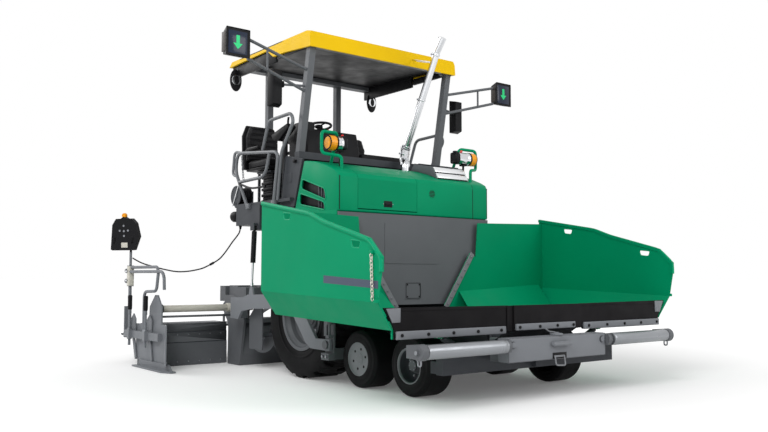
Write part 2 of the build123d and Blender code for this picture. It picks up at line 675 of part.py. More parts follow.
# ---- augers -------------------------------------------------------------------------------------------------------
auger_x = -870
auger_z = 300
auger_radius = 158
with BuildPart() as auger_frame:
    # mounting plate on the frame's rear end, chain case and gearbox in the middle
    box((-632, frame_rear_x), (-450, 450), (560, 700))
    box((-900, -630), (-45, 45), (600, 700))
    box((-900, -840), (-45, 45), (330, 640))
    box((-930, -810), (-60, 60), (215, 400))
    # cross beam and the shield plates at its ends
    box((-700, -630), (-858, 858), (640, 700))
    for side in SIDES.values():
        side_plate([(-890, 190), (-890, 505), (-745, 640), (-740, 700), (-640, 700), (-640, 190)],
                   span(side, 846, 858))
auger_frame.part.label = "auger_frame"

flight_step = 118
flight_count = 6
flight_lean = 20
augers = {}
for name, side in SIDES.items():
    with BuildPart() as auger:
        bar((auger_x, side * 68, auger_z), (auger_x, side * 838, auger_z), 38)
        for i in range(flight_count):
            lean = radians(flight_lean) * side * (1 if i % 2 == 0 else -1)
            plane = Plane(origin=(auger_x, side * (130 + flight_step * i), auger_z),
                          x_dir=(cos(lean), sin(lean), 0), z_dir=(-sin(lean), cos(lean), 0))
            with BuildSketch(plane):
                Circle(auger_radius)
                with Locations((0, auger_radius if i % 2 == 0 else -auger_radius)):
                    Rectangle(3 * auger_radius, 2 * auger_radius, mode=Mode.SUBTRACT)
            extrude(amount=6, both=True)
    auger.part.label = f"auger_{name}"
    augers[auger.part.label] = auger.part

# ---- screed: tow arms and base --------------------------------------------------------------------------------------
arm_outline = [  # x, z from the tow pin round under the plate and back over the top
    (668, 280), (668, 376), (462, 372), (345, 500), (200, 650), (60, 722), (-320, 734), (-740, 722), (-830, 696),
    (-1000, 690), (-1000, 484), (-930, 480), (-860, 560), (-650, 590), (-320, 600), (-20, 600), (90, 560),
    (300, 330), (380, 285),
]
lift_eye = (-680, 776)
with BuildPart() as screed_arms:
    for side in SIDES.values():
        side_plate(arm_outline, span(side, arm_y, arm_y + arm_plate))
        bar((tow_pin_x, side * (arm_y - 5), tow_pin_z), (tow_pin_x, side * (arm_y + 30), tow_pin_z), 23,
            Mode.SUBTRACT)
        # crank inwards behind the rear wheel
        box((-1084, -990), span(side, base_half_width, arm_y + arm_plate), (484, 690))
        # lug for the lift cylinder
        side_plate([(-725, 715), (-705, 800), (-655, 800), (-635, 715)], span(side, lift_y - 8, lift_y + 8))
screed_arms.part.label = "screed_arms"

base_side = [
    (-1084, 690), (-1230, 690), (-1290, 706), (-1400, 706), (-1531, 602), (-1531, 562), (-1430, 450), (-1400, 410),
    (-1400, 0), (-1150, 0), (-1060, 449),
]
tube_x = {"right": -1376, "left": -1466}
tube_z = 578
tube_radius = 35
rod_x = {"right": -1300, "left": -1255}
rod_z = 505
with BuildPart() as screed_base:
    for name, side in SIDES.items():
        side_plate(base_side, span(side, base_half_width - 26, base_half_width))
        # guide collars of the telescopic tubes
        bar((tube_x[name], side * 600, tube_z), (tube_x[name], side * 805, tube_z), tube_radius + 12)
        box((-1520, -1335), span(side, 610, 625), (425, 650))
        bar((tube_x[name], side * 590, tube_z), (tube_x[name], side * (base_half_width + 5), tube_z),
            tube_radius + 0.6, Mode.SUBTRACT)
        bar((rod_x[name], side * 790, rod_z), (rod_x[name], side * (base_half_width + 5), rod_z), 14, Mode.SUBTRACT)
    # screed plate, mouldboard and inner box
    side_plate([(-1400, 0), (-1150, 0), (-1128, 110), (-1128, 380), (-1160, 430), (-1400, 430)],
               (-base_half_width + 20, base_half_width - 20))
    box((-1340, -1100), (-base_half_width + 20, base_half_width - 20), (425, 470))
    # step boxes and machinery covers on top
    box((-1600, -1480), (-base_half_width + 5, base_half_width - 5), (640, 800))
    for y in (-815, -545, -275, -5, 265, 535):
        box((-1440, -1260), (y + 20, y + 245), (640, 806))
    box((-1240, -1040), (-base_half_width + 5, base_half_width - 5), (700, 790))
    side_plate([(-1600, 640), (-1040, 640), (-1040, 706), (-1600, 706)], (-base_half_width + 5, base_half_width - 5))
    for side in SIDES.values():
        box((-1180, -1110), span(side, 780, base_half_width - 5), (430, 700))
        # hangers of the walkway
        for y in (180, 620):
            side_plate([(-1600, 640), (-1512, 640), (-1512, 628), (-1600, 560), (-1870, 460), (-1870, 370),
                        (-1900, 370), (-1900, 480), (-1600, 600)], span(side, y, y + 14))
    box((-2340, -1868), (-780, 780), (356, 380))
screed_base.part.label = "screed_base"

lift_foot = {"y": lift_y, "x": -640, "z": 1360}
lifts = {}
for name, side in SIDES.items():
    top = Vector(lift_foot["x"], side * lift_y, lift_foot["z"])
    eye = Vector(lift_eye[0], side * lift_y, lift_eye[1])
    way = (eye - top).normalized()
    reach = (eye - top).length
    with BuildPart() as barrel:
        bar(top + way * 25, top + way * 330, 25)
        bar(top + way * 60, top + way * 340, 11.5, Mode.SUBTRACT)
        bar(top + way * 10, top + way * 30, 14)
        bar(top - Vector(0, 9, 0), top + Vector(0, 9, 0), 24)
        bar(top - Vector(0, 12, 0), top + Vector(0, 12, 0), 9.05, Mode.SUBTRACT)
    barrel.part.label = f"lift_barrel_{name}"
    with BuildPart() as rod:
        bar(top + way * 236, eye - way * 44, 11)
        bar(eye - way * 60, eye - way * 30, 15)
    rod.part.label = f"lift_rod_{name}"
    lifts[barrel.part.label] = barrel.part
    lifts[rod.part.label] = rod.part

# ---- screed extensions ----------------------------------------------------------------------------------------------
extension_front_x = -1490
extension_rear_x = -1845
extension_inner_y = 792
extension_section = [  # x, z
    (extension_front_x, 0), (extension_front_x, 226), (extension_front_x - 6, 236), (extension_front_x - 6, 330),
    (extension_front_x - 12, 340), (extension_front_x - 12, 405), (extension_front_x - 30, extension_top),
    (extension_rear_x + 60, extension_top), (extension_rear_x, 360), (extension_rear_x, 0),
]
extensions = {}
for name, side in SIDES.items():
    with BuildPart() as extension:
        side_plate(extension_section, span(side, extension_inner_y, end_plate_y))
        # telescopic tubes with their foot at the end plate
        bar((tube_x[name], side * 560, tube_z), (tube_x[name], side * end_plate_y, tube_z), tube_radius)
        bar((rod_x[name], side * 794, rod_z), (rod_x[name], side * end_plate_y, rod_z), 11)
        # own walkway behind
        box((extension_rear_x - 500, extension_rear_x + 5), span(side, 812, 1600), (270, 292))
    extension.part.label = f"extension_{name}"
    extensions[extension.part.label] = extension.part

end_plates = {}
for name, side in SIDES.items():
    y0 = end_plate_y
    with BuildPart() as end_plate:
        side_plate([(-1850, 60), (-1850, 420), (-1145, 436), (-1145, 60)], span(side, y0, y0 + 16))
        # front flange, turned outwards, with its window
        floor_plate([(x, side * y) for x, y in ((-1150, y0), (-1150, y0 + 14), (-955, y0 + 90), (-948, y0 + 78))],
                    (60, 436))
        side_plate([(-1060, 330), (-1060, 400), (-1010, 350), (-1010, 300)], span(side, y0 - 20, y0 + 120),
                   Mode.SUBTRACT)
        # sliding shoe
        floor_plate([(x, side * y) for x, y in (
            (-1760, y0), (-1760, y0 + 90), (-1000, y0 + 110), (-900, y0 + 60), (-900, y0))], (0, 14))
        side_plate([(-1720, 14), (-1720, 70), (-1000, 70), (-940, 14)], span(side, y0 + 18, y0 + 34))
        box((-1700, -1150), span(side, y0, y0 + 20), (14, 70))
        # cross beam and spindles
        box((-2072, -1200), span(side, y0 + 14, y0 + 60), (275, 349))
        for x in (-1890, -1480):
            bar((x, side * (y0 + 72), 200), (x, side * (y0 + 72), 520), 14)
            bar((x, side * (y0 + 72), 520), (x - 18, side * (y0 + 72), 700), 18)
            box((x - 26, x + 26), span(side, y0 + 55, y0 + 90), (262, 362))
            side_plate([(x - 60, 349), (x - 60, 470), (x, 520), (x + 60, 470), (x + 60, 349)],
                       span(side, y0 + 22, y0 + 32))
            side_plate([(x - 20, 275), (x + 40, 275), (x + 90, 80), (x + 60, 60)], span(side, y0 + 22, y0 + 34))
        # rear plate
        box((-2084, -2060), span(side, y0 + 14, y0 + 60), (265, 588))
        # cam plate at the telescopic tubes
        side_plate([(-1530, 400), (-1520, 600), (-1390, 716), (-1330, 716), (-1230, 600), (-1225, 400)],
                   span(side, y0, y0 + 14))
        # post of the remote console
        bar((-1968, side * (y0 + 40), 300), (-1985, side * (y0 + 40), 800), 17)
        box((-2010, -1950), span(side, y0 + 15, y0 + 65), (795, 1010))
        bar((-1985, side * (y0 + 40), 1000), (-1985, side * (y0 + 40), 1150), 13)
        for z in (850, 955):
            bar((-2075, side * (y0 + 40), z), (-2005, side * (y0 + 40), z), 9)
            bar((-2085, side * (y0 + 40), z), (-2068, side * (y0 + 40), z), 24)
        # handles
        tube(mirrored([
            (-1600, y0 + 40, 340), (-1600, y0 + 40, 745), (-1300, y0 + 40, 755), (-1250, y0 + 40, 990),
            (-1960, y0 + 40, 990),
        ], side), 15, 60)
        tube(mirrored([
            (-1960, y0 + 52, 945), (-1100, y0 + 52, 945), (-1085, y0 + 52, 770),
        ], side), 15, 90)
    end_plate.part.label = f"end_plate_{name}"
    end_plates[end_plate.part.label] = end_plate.part

# ---- remote consoles --------------------------------------------------------------------------------------------------
console_centre = (-2010, end_plate_y + 75, 1330)
console_half = 172
console_outline = [
    (-console_half, -150), (-console_half + 30, 105), (-95, 168), (-40, 168), (0, 190), (40, 168), (95, 168),
    (console_half - 30, 120), (console_half, -20), (110, -160), (-150, -160),
]
consoles = {}
for name, side in SIDES.items():
    out = Vector(0.55, 0.83 * side, -0.1)
    across = Vector(-0.83 * side, 0.55, 0)
    origin = Vector(console_centre[0], side * console_centre[1], console_centre[2])
    with BuildPart() as remote:
        plane = Plane(origin=origin, x_dir=across, z_dir=out)
        with BuildSketch(plane):
            with BuildLine():
                Polyline(*console_outline, close=True)
            make_face()
            with Locations((-118, -60), (100, -60)):
                SlotOverall(80, 22, rotation=75, mode=Mode.SUBTRACT)
        extrude(amount=50)
        with BuildSketch(plane.offset(20)):
            with Locations((0, 200)):
                Circle(24)
        extrude(amount=24)
        with BuildSketch(plane.offset(-40)):
            Rectangle(90, 120)
        extrude(amount=42)
        bar((-1985, side * (end_plate_y + 40), 1150), (-1985, side * (end_plate_y + 40), 1300), 12)
    remote.part.label = f"remote_console_{name}"
    consoles[remote.part.label] = remote.part

# ---- cable from the platform to the right-hand console ----------------------------------------------------------------
cable_radius = 7
joint_from, joint_to = 0.36, 0.60  # where the inline connector sits between two points of the cable
before_joint = Vector(-1195, -1046, 1066)
after_joint = Vector(-1318, -1148, 984)
connector_start = before_joint + (after_joint - before_joint) * joint_from
connector_end = before_joint + (after_joint - before_joint) * joint_to
cable_inner_route = [(-1018, -905, 1406), (-1018, -905, 1352), (-1046, -928, 1300), (-1089, -959, 1240),
                     (-1120, -985, 1180), (-1153, -1013, 1124), before_joint, connector_start]
cable_outer_route = [connector_end, after_joint, (-1375, -1195, 966), (-1440, -1255, 950),
                     (-1511, -1316, 944), (-1565, -1362, 949), (-1620, -1408, 962), (-1680, -1458, 978),
                     (-1745, -1512, 1000), (-1812, -1572, 1022), (-1880, -1618, 1052), (-1950, -1646, 1086)]


def cable(points):
    """A tube along a free cable's route, each arc as large as its two runs allow."""
    vectors = [Vector(*point) for point in points]
    radii = []
    for before, corner, after in zip(vectors, vectors[1:], vectors[2:]):
        turn = radians((corner - before).get_angle(after - corner))
        radii.append(0.45 * min((corner - before).length, (after - corner).length) / tan(turn / 2))
    print("cable arc radii:", [round(radius) for radius in radii])
    with BuildLine() as route:
        FilletPolyline(*points, radius=radii)
    with BuildSketch(Plane(origin=route.line @ 0, z_dir=route.line % 0)) as face:
        Circle(cable_radius)
    sweep(face.sketch, path=route.line)
    print("cable length:", round(sum(edge.length for edge in route.edges())), "mm")


with BuildPart() as cable_inner:
    cable(cable_inner_route)
cable_inner.part.label = "cable_inner"
with BuildPart() as cable_outer:
    cable(cable_outer_route)
cable_outer.part.label = "cable_outer"
with BuildPart() as cable_connector:
    bar(connector_start, connector_end, 12)
cable_connector.part.label = "cable_connector"

# ---- write one file for each piece ------------------------------------------------------------------------------------
os.makedirs("parts", exist_ok=True)
single = [
    main_frame, wing_hinges, tow_points, bogie, conveyor, bulkhead, engine_block, hood, hood_lid, cooler_box, exhaust,
    deck, console, seats, handrails, canopy_roof, canopy_frame, lamps_and_mirrors, apron_centre, push_beam,
    auger_frame, screed_arms, screed_base, cable_inner, cable_outer, cable_connector,
]
for piece in single:
    export_step(piece.part, f"parts/{piece.part.label}.step")
for group in (knuckles, rear_wheels, front_wheels, wings, aprons, wing_cylinders, push_rollers, augers, lifts,
              extensions, end_plates, consoles):
    for label, part in group.items():
        export_step(part, f"parts/{label}.step")
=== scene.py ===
import math
import bpy
from mathutils import Matrix, Vector


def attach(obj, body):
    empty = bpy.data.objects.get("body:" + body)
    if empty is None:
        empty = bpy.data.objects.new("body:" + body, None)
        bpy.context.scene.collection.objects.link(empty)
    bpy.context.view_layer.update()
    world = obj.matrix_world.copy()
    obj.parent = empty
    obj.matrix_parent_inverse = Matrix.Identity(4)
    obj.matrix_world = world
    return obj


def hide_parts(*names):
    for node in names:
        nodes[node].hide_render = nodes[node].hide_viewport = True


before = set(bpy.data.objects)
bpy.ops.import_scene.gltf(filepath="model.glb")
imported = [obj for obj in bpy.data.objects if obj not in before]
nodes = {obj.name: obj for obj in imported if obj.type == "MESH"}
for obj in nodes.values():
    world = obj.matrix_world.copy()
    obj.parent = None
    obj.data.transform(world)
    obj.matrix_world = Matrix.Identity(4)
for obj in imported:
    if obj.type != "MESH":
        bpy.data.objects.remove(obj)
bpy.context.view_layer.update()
sides = {"right": -1, "left": 1}
print("frame loaded")

# camera
camera = {"place": (6.371, -4.871, 0.900), "heading": 51.851, "pitch": 4.212, "roll": 0.101, "lens": 38.54}
bpy.ops.object.select_all(action="DESELECT")
bpy.ops.object.camera_add(location=camera["place"], rotation=(
    math.radians(90 + camera["pitch"]), 0, math.radians(camera["heading"])))
cameraObject = bpy.context.object
cameraObject.rotation_euler.rotate_axis("Z", math.radians(camera["roll"]))
cameraObject.data.lens = camera["lens"]
cameraObject.data.sensor_width = 36
cameraObject.data.clip_end = 200
bpy.context.scene.camera = cameraObject
bpy.context.scene.view_settings.view_transform = "Standard"


# shared ways of working
def clearSelection():
    if bpy.context.object and bpy.context.object.mode != "OBJECT":
        bpy.ops.object.mode_set(mode="OBJECT")
    bpy.ops.object.select_all(action="DESELECT")


def makeActive(piece):
    clearSelection()
    piece.select_set(True)
    bpy.context.view_layer.objects.active = piece
    return piece


def seatPiece(piece, name):
    # the object goes to the origin and its place into the mesh
    makeActive(piece)
    bpy.ops.object.transform_apply(location=True, rotation=True, scale=True)
    piece.name = name
    piece.data.name = name
    return piece


def finishPiece(piece, name, body, material, smooth=35):
    seatPiece(piece, name)
    if piece.type == "MESH" and smooth:
        bpy.ops.object.shade_smooth_by_angle(angle=math.radians(smooth))
    piece.data.materials.clear()
    piece.data.materials.append(material)
    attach(piece, body)
    return piece


def onChassis(piece, name, material):
    return finishPiece(piece, name, "chassis", material)


def onBeam(piece, name, material):
    return finishPiece(piece, name, "push_beam", material)


def applyModifier(piece, kind, **settings):
    makeActive(piece)
    modifier = piece.modifiers.new(kind.title(), kind)
    for key, value in settings.items():
        setattr(modifier, key, value)
    bpy.ops.object.modifier_apply(modifier=modifier.name)
    return piece


def bevelEdges(piece, width, segments=2, angle=35):
    return applyModifier(piece, "BEVEL", width=width, segments=segments, limit_method="ANGLE",
                         angle_limit=math.radians(angle), harden_normals=False)


def addBox(low, high):
    # a cube between two corners
    low, high = Vector(low), Vector(high)
    clearSelection()
    bpy.ops.mesh.primitive_cube_add(size=1, location=(low + high) / 2)
    piece = bpy.context.object
    piece.scale = high - low
    bpy.ops.object.transform_apply(location=True, rotation=True, scale=True)
    return piece


def addRod(start, end, radius, sides=24, endRadius=None):
    # a round bar or cone between two points
    start, end = Vector(start), Vector(end)
    clearSelection()
    bpy.ops.mesh.primitive_cone_add(vertices=sides, radius1=radius,
                                    radius2=radius if endRadius is None else endRadius,
                                    depth=(end - start).length, location=(start + end) / 2,
                                    rotation=(end - start).to_track_quat("Z", "Y").to_euler())
    piece = bpy.context.object
    bpy.ops.object.transform_apply(location=True, rotation=True, scale=True)
    return piece


def selectFaces(piece, test):
    # edit mode with only the faces that pass the test selected
    makeActive(piece)
    bpy.ops.object.mode_set(mode="EDIT")
    bpy.ops.mesh.select_mode(type="FACE")
    bpy.ops.mesh.select_all(action="DESELECT")
    bpy.ops.object.mode_set(mode="OBJECT")
    for polygon in piece.data.polygons:
        polygon.select = test(polygon)
    bpy.ops.object.mode_set(mode="EDIT")


def leaveEdit():
    bpy.ops.object.mode_set(mode="OBJECT")


def insetFaces(piece, test, rim, depth):
    # a frame round the chosen faces, and the middle moved in or out
    selectFaces(piece, test)
    bpy.ops.mesh.inset(thickness=rim, depth=depth, use_even_offset=True)
    leaveEdit()
    return piece


def joinPieces(pieces):
    makeActive(pieces[0])
    for piece in pieces[1:]:
        piece.select_set(True)
    bpy.ops.object.join()
    return bpy.context.object


def copyPiece(piece, offset=(0, 0, 0)):
    copy = piece.copy()
    copy.data = piece.data.copy()
    bpy.context.scene.collection.objects.link(copy)
    copy.data.transform(Matrix.Translation(offset))
    return copy


def addTube(points, radius, bend=0.05, steps=5, closed=False):
    # a bent tube: straight runs with rounded corners, given a round section
    points = [Vector(point) for point in points]
    line = [] if closed else [points[0]]
    count = len(points)
    for index in (range(count) if closed else range(1, count - 1)):
        before, corner, after = points[index - 1], points[index], points[(index + 1) % count]
        inward, outward = (before - corner), (after - corner)
        reach = min(bend, inward.length * 0.49, outward.length * 0.49)
        start, end = corner + inward.normalized() * reach, corner + outward.normalized() * reach
        for step in range(steps + 1):
            part = step / steps
            line.append(start * (1 - part) ** 2 + corner * 2 * part * (1 - part) + end * part ** 2)
    if not closed:
        line.append(points[-1])
    curve = bpy.data.curves.new("tube", "CURVE")
    curve.dimensions = "3D"
    spline = curve.splines.new("POLY")
    spline.points.add(len(line) - 1)
    for target, point in zip(spline.points, line):
        target.co = (*point, 1)
    spline.use_cyclic_u = closed
    curve.bevel_depth = radius
    curve.bevel_resolution = 3
    curve.use_fill_caps = True
    piece = bpy.data.objects.new("tube", curve)
    bpy.context.scene.collection.objects.link(piece)
    makeActive(piece)
    bpy.ops.object.convert(target="MESH")
    return bpy.context.object


def addTurned(profile, centre, axis="Y", way=1, sides=48):
    # rings of one circle, moved along the axle and sized: (distance out, radius) for each ring
    clearSelection()
    turn = {"X": (0, math.pi / 2, 0), "Y": (math.pi / 2, 0, 0), "Z": (0, 0, 0)}[axis]
    along = {"X": Vector((1, 0, 0)), "Y": Vector((0, 1, 0)), "Z": Vector((0, 0, 1))}[axis] * way
    centre = Vector(centre)
    firstOut, firstRadius = profile[0]
    bpy.ops.mesh.primitive_circle_add(vertices=sides, radius=firstRadius, location=centre + along * firstOut,
                                      rotation=turn)
    piece = bpy.context.object
    bpy.ops.object.transform_apply(location=True, rotation=True, scale=True)
    bpy.ops.object.mode_set(mode="EDIT")
    bpy.ops.mesh.select_all(action="SELECT")
    lastOut, lastRadius = profile[0]
    for out, radius in profile[1:]:
        bpy.ops.mesh.extrude_edges_move(TRANSFORM_OT_translate={"value": along * (out - lastOut)})
        share = radius / lastRadius
        size = [share] * 3
        size["XYZ".index(axis)] = 1
        bpy.ops.transform.resize(value=size, center_override=centre + along * out)
        lastOut, lastRadius = out, radius
    bpy.ops.mesh.select_all(action="SELECT")
    bpy.ops.mesh.remove_doubles(threshold=0.00005)
    bpy.ops.mesh.normals_make_consistent(inside=False)
    bpy.ops.object.mode_set(mode="OBJECT")
    return piece


def copyNode(name):
    # a merged copy of a solid's mesh, placed in the world, to be cut or painted
    node = nodes[name]
    copy = node.copy()
    copy.data = node.data.copy()
    bpy.context.scene.collection.objects.link(copy)
    copy.data.transform(node.matrix_world)
    copy.matrix_world = Matrix.Identity(4)
    makeActive(copy)
    bpy.ops.object.mode_set(mode="EDIT")
    bpy.ops.mesh.select_all(action="SELECT")
    bpy.ops.mesh.remove_doubles(threshold=0.00002)
    bpy.ops.mesh.normals_make_consistent(inside=False)
    bpy.ops.object.mode_set(mode="OBJECT")
    return copy


def cutWith(piece, cutters):
    # each cutter is taken out of the piece, then thrown away
    for cutter in cutters:
        applyModifier(piece, "BOOLEAN", operation="DIFFERENCE", solver="EXACT", object=cutter)
        bpy.data.objects.remove(cutter)
    return piece


def roundCorners(points, bend, steps=5):
    # the same outline with each corner turned into a short arc
    points = [Vector(point) for point in points]
    rounded = []
    for index, corner in enumerate(points):
        before, after = points[index - 1], points[(index + 1) % len(points)]
        start = corner + (before - corner).normalized() * min(bend, (before - corner).length * 0.45)
        end = corner + (after - corner).normalized() * min(bend, (after - corner).length * 0.45)
        for step in range(steps + 1):
            part = step / steps
            rounded.append(start * (1 - part) ** 2 + corner * 2 * part * (1 - part) + end * part ** 2)
    return rounded


# materials
def newMaterial(name):
    material = bpy.data.materials.new(name)
    material.use_nodes = True
    return material, material.node_tree.nodes, material.node_tree.links, material.node_tree.nodes["Principled BSDF"]


def setInputs(node, inputs):
    for name, value in inputs.items():
        node.inputs[name].default_value = value


def newNode(tree, kind, inputs={}, **settings):
    node = tree.new("ShaderNode" + kind)
    for key, value in settings.items():
        setattr(node, key, value)
    setInputs(node, inputs)
    return node


def noiseTo(links, tree, scale, detail, low, high):
    # Object coordinates, noise and a ramp between two values
    place = newNode(tree, "TexCoord")
    noise = newNode(tree, "TexNoise", {"Scale": scale, "Detail": detail})
    links.new(place.outputs["Object"], noise.inputs["Vector"])
    span = newNode(tree, "MapRange", {"From Min": 0.3, "From Max": 0.7, "To Min": low, "To Max": high})
    links.new(noise.outputs["Fac"], span.inputs["Value"])
    return noise, span.outputs["Result"]


def paintFinish(name, colour, rough=0.38, metallic=0.0, shade=0.12, grain=0.0, grainScale=600, coat=0.0,
                patchScale=1.6, dust=0.0, shine=0.16):
    # paint, plastic or metal: faint patches in the colour, uneven gloss and a fine grain
    material, tree, links, shader = newMaterial(name)
    setInputs(shader, {"Metallic": metallic, "Specular IOR Level": 0.5 if metallic else shine,
                       "Coat Weight": coat, "Coat Roughness": 0.12})
    _, patches = noiseTo(links, tree, patchScale, 5, 0, 1)
    mix = newNode(tree, "Mix", {"A": (*[c * (1 - shade) for c in colour], 1),
                                "B": (*[min(1, c * (1 + shade)) for c in colour], 1)}, data_type="RGBA")
    links.new(patches, mix.inputs["Factor"])
    outColour = mix.outputs["Result"]
    if dust:
        _, spots = noiseTo(links, tree, 38, 8, -0.6, dust)
        dusty = newNode(tree, "Mix", {"B": (0.30, 0.285, 0.26, 1)}, data_type="RGBA", clamp_factor=True)
        links.new(spots, dusty.inputs["Factor"])
        links.new(outColour, dusty.inputs["A"])
        outColour = dusty.outputs["Result"]
    links.new(outColour, shader.inputs["Base Color"])
    _, gloss = noiseTo(links, tree, 7, 6, rough * 0.82, rough * 1.18)
    links.new(gloss, shader.inputs["Roughness"])
    if grain:
        fine, _ = noiseTo(links, tree, grainScale, 3, 0, 1)
        bump = newNode(tree, "Bump", {"Strength": grain, "Distance": 0.0006})
        links.new(fine.outputs["Fac"], bump.inputs["Height"])
        links.new(bump.outputs["Normal"], shader.inputs["Normal"])
    return material


greenPaint = paintFinish("greenPaint", (0.0, 0.262, 0.118), 0.42, shade=0.05, grain=0.06, grainScale=900, shine=0.06)
# the green paint made lighter: a painted highlight on the rolled edges and lips
greenLip = paintFinish("greenLip", (0.0, 0.300, 0.140), 0.36, shade=0.05, grain=0.06, grainScale=900, shine=0.12)
greyPaint = paintFinish("greyPaint", (0.118, 0.124, 0.134), 0.44, shade=0.08, grain=0.12, grainScale=700)
plateGrey = paintFinish("plateGrey", (0.185, 0.195, 0.212), 0.42, shade=0.08, grain=0.12, grainScale=700)
framePaint = paintFinish("framePaint", (0.046, 0.050, 0.057), 0.48, shade=0.10, grain=0.15, grainScale=600)
blackPaint = paintFinish("blackPaint", (0.0085, 0.0085, 0.0095), 0.45, shade=0.12, grain=0.15, grainScale=600,
                         shine=0.12)
railPaint = paintFinish("railPaint", (0.150, 0.158, 0.170), 0.40, shade=0.05, grain=0.06, shine=0.25)
creamPaint = paintFinish("creamPaint", (0.60, 0.58, 0.51), 0.38, shade=0.05, grain=0.06)
yellowShell = paintFinish("yellowShell", (0.80, 0.50, 0.003), 0.42, shade=0.04, grain=0.05, grainScale=400,
                          shine=0.06)
wornSteel = paintFinish("wornSteel", (0.26, 0.27, 0.29), 0.38, metallic=0.80, shade=0.18, grain=0.25, grainScale=260)
rollerSteel = paintFinish("rollerSteel", (0.27, 0.282, 0.300), 0.33, metallic=0.75, shade=0.12, grain=0.15,
                          grainScale=260)
chainZinc = paintFinish("chainZinc", (0.66, 0.62, 0.55), 0.35, metallic=0.35, shade=0.15)
castIron = paintFinish("castIron", (0.026, 0.026, 0.027), 0.62, shade=0.2, grain=0.6, grainScale=260)
chrome = paintFinish("chrome", (0.62, 0.63, 0.65), 0.14, metallic=1.0, shade=0.06)
brightAluminium = paintFinish("brightAluminium", (0.74, 0.75, 0.76), 0.30, metallic=0.9, shade=0.06, grain=0.1)
blackPlastic = paintFinish("blackPlastic", (0.0078, 0.0078, 0.0090), 0.48, shade=0.15, grain=0.3, grainScale=500,
                           shine=0.12)
seatLeather = paintFinish("seatLeather", (0.0095, 0.0095, 0.0108), 0.5, shade=0.2, grain=0.7, grainScale=180,
                          shine=0.14)
apronRubber = paintFinish("apronRubber", (0.0080, 0.0073, 0.0083), 0.60, shade=0.25, grain=0.5, grainScale=220,
                          dust=0.01, shine=0.08)
tyreRubber = paintFinish("tyreRubber", (0.0075, 0.0075, 0.0082), 0.62, shade=0.25, grain=0.6, grainScale=240,
                         dust=0.02, shine=0.10)
cableRubber = paintFinish("cableRubber", (0.0075, 0.0075, 0.0085), 0.42, shade=0.15, grain=0.25, grainScale=500)

nodeFinishes = {
    "main_frame": framePaint, "wing_hinges": framePaint, "tow_points": greyPaint, "bogie": blackPaint,
    "conveyor": wornSteel, "bulkhead": greyPaint, "engine_block": castIron, "hood": greenPaint,
    "hood_lid": greenPaint, "cooler_box": greyPaint, "exhaust": chrome, "deck": framePaint, "console": blackPlastic,
    "seats": seatLeather, "handrails": railPaint, "canopy_roof": yellowShell, "canopy_frame": greyPaint,
    "lamps_and_mirrors": blackPlastic, "apron_centre": apronRubber, "push_beam": greyPaint,
    "auger_frame": greyPaint, "screed_arms": plateGrey, "screed_base": greyPaint, "cable_inner": cableRubber,
    "cable_outer": cableRubber, "cable_connector": blackPlastic, "knuckle": blackPaint, "tyre_rear": tyreRubber,
    "rim_rear": greyPaint, "wheel_front": tyreRubber, "wheel_middle": tyreRubber, "wing": greenPaint,
    "apron": apronRubber, "wing_barrel": framePaint, "wing_rod": chrome, "push_roller": rollerSteel,
    "auger": wornSteel, "lift_barrel": blackPaint, "lift_rod": chrome, "extension": greyPaint,
    "end_plate": plateGrey, "remote_console": blackPlastic,
}
for nodeName, node in nodes.items():
    family = nodeName.replace("_right", "").replace("_left", "")
    if family.startswith("knuckle"):
        family = "knuckle"
    node.data.materials.clear()
    node.data.materials.append(nodeFinishes[family])
print("materials on every node")

# the control cable: same route points as its solids, in metres
cableSettings = {
    "diameter": 0.014,
    "inner": [(-1.018, -0.905, 1.406), (-1.018, -0.905, 1.352), (-1.046, -0.928, 1.300), (-1.089, -0.959, 1.240),
              (-1.120, -0.985, 1.180), (-1.153, -1.013, 1.124), (-1.195, -1.046, 1.066),
              (-1.23928, -1.08272, 1.03648)],
    "outer": [(-1.2688, -1.1072, 1.0168), (-1.318, -1.148, 0.984), (-1.375, -1.195, 0.966), (-1.440, -1.255, 0.950),
              (-1.511, -1.316, 0.944), (-1.565, -1.362, 0.949), (-1.620, -1.408, 0.962), (-1.680, -1.458, 0.978),
              (-1.745, -1.512, 1.000), (-1.812, -1.572, 1.022), (-1.880, -1.618, 1.052), (-1.950, -1.646, 1.086)],
}


def addCable(name, points, body, node):
    curve = bpy.data.curves.new(name, "CURVE")
    curve.dimensions = "3D"
    spline = curve.splines.new("NURBS")
    spline.points.add(len(points) - 1)
    for target, point in zip(spline.points, points):
        target.co = (*point, 1)
    spline.order_u = 3
    spline.use_endpoint_u = True
    spline.resolution_u = 10
    curve.bevel_depth = cableSettings["diameter"] / 2
    curve.bevel_resolution = 4
    curve.use_fill_caps = True
    piece = bpy.data.objects.new(name, curve)
    bpy.context.scene.collection.objects.link(piece)
    curve.materials.append(cableRubber)
    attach(piece, body)
    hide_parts(node)
    return piece


innerCable = addCable("innerCable", cableSettings["inner"], "chassis", "cable_inner")
outerCable = addCable("outerCable", cableSettings["outer"], "screed", "cable_outer")
print("cables laid")


# small parts that many pieces share
def addBolts(name, body, places, way, radius, height, material, sides=12):
    # one bolt head modelled and bevelled, then copied to each place; way is the outward direction
    way = Vector(way).normalized()
    first = Vector(places[0])
    head = bevelEdges(addRod(first - way * 0.002, first + way * height, radius, sides), radius * 0.22, 2, 40)
    heads = [head] + [copyPiece(head, Vector(place) - first) for place in places[1:]]
    return finishPiece(joinPieces(heads), name, body, material)


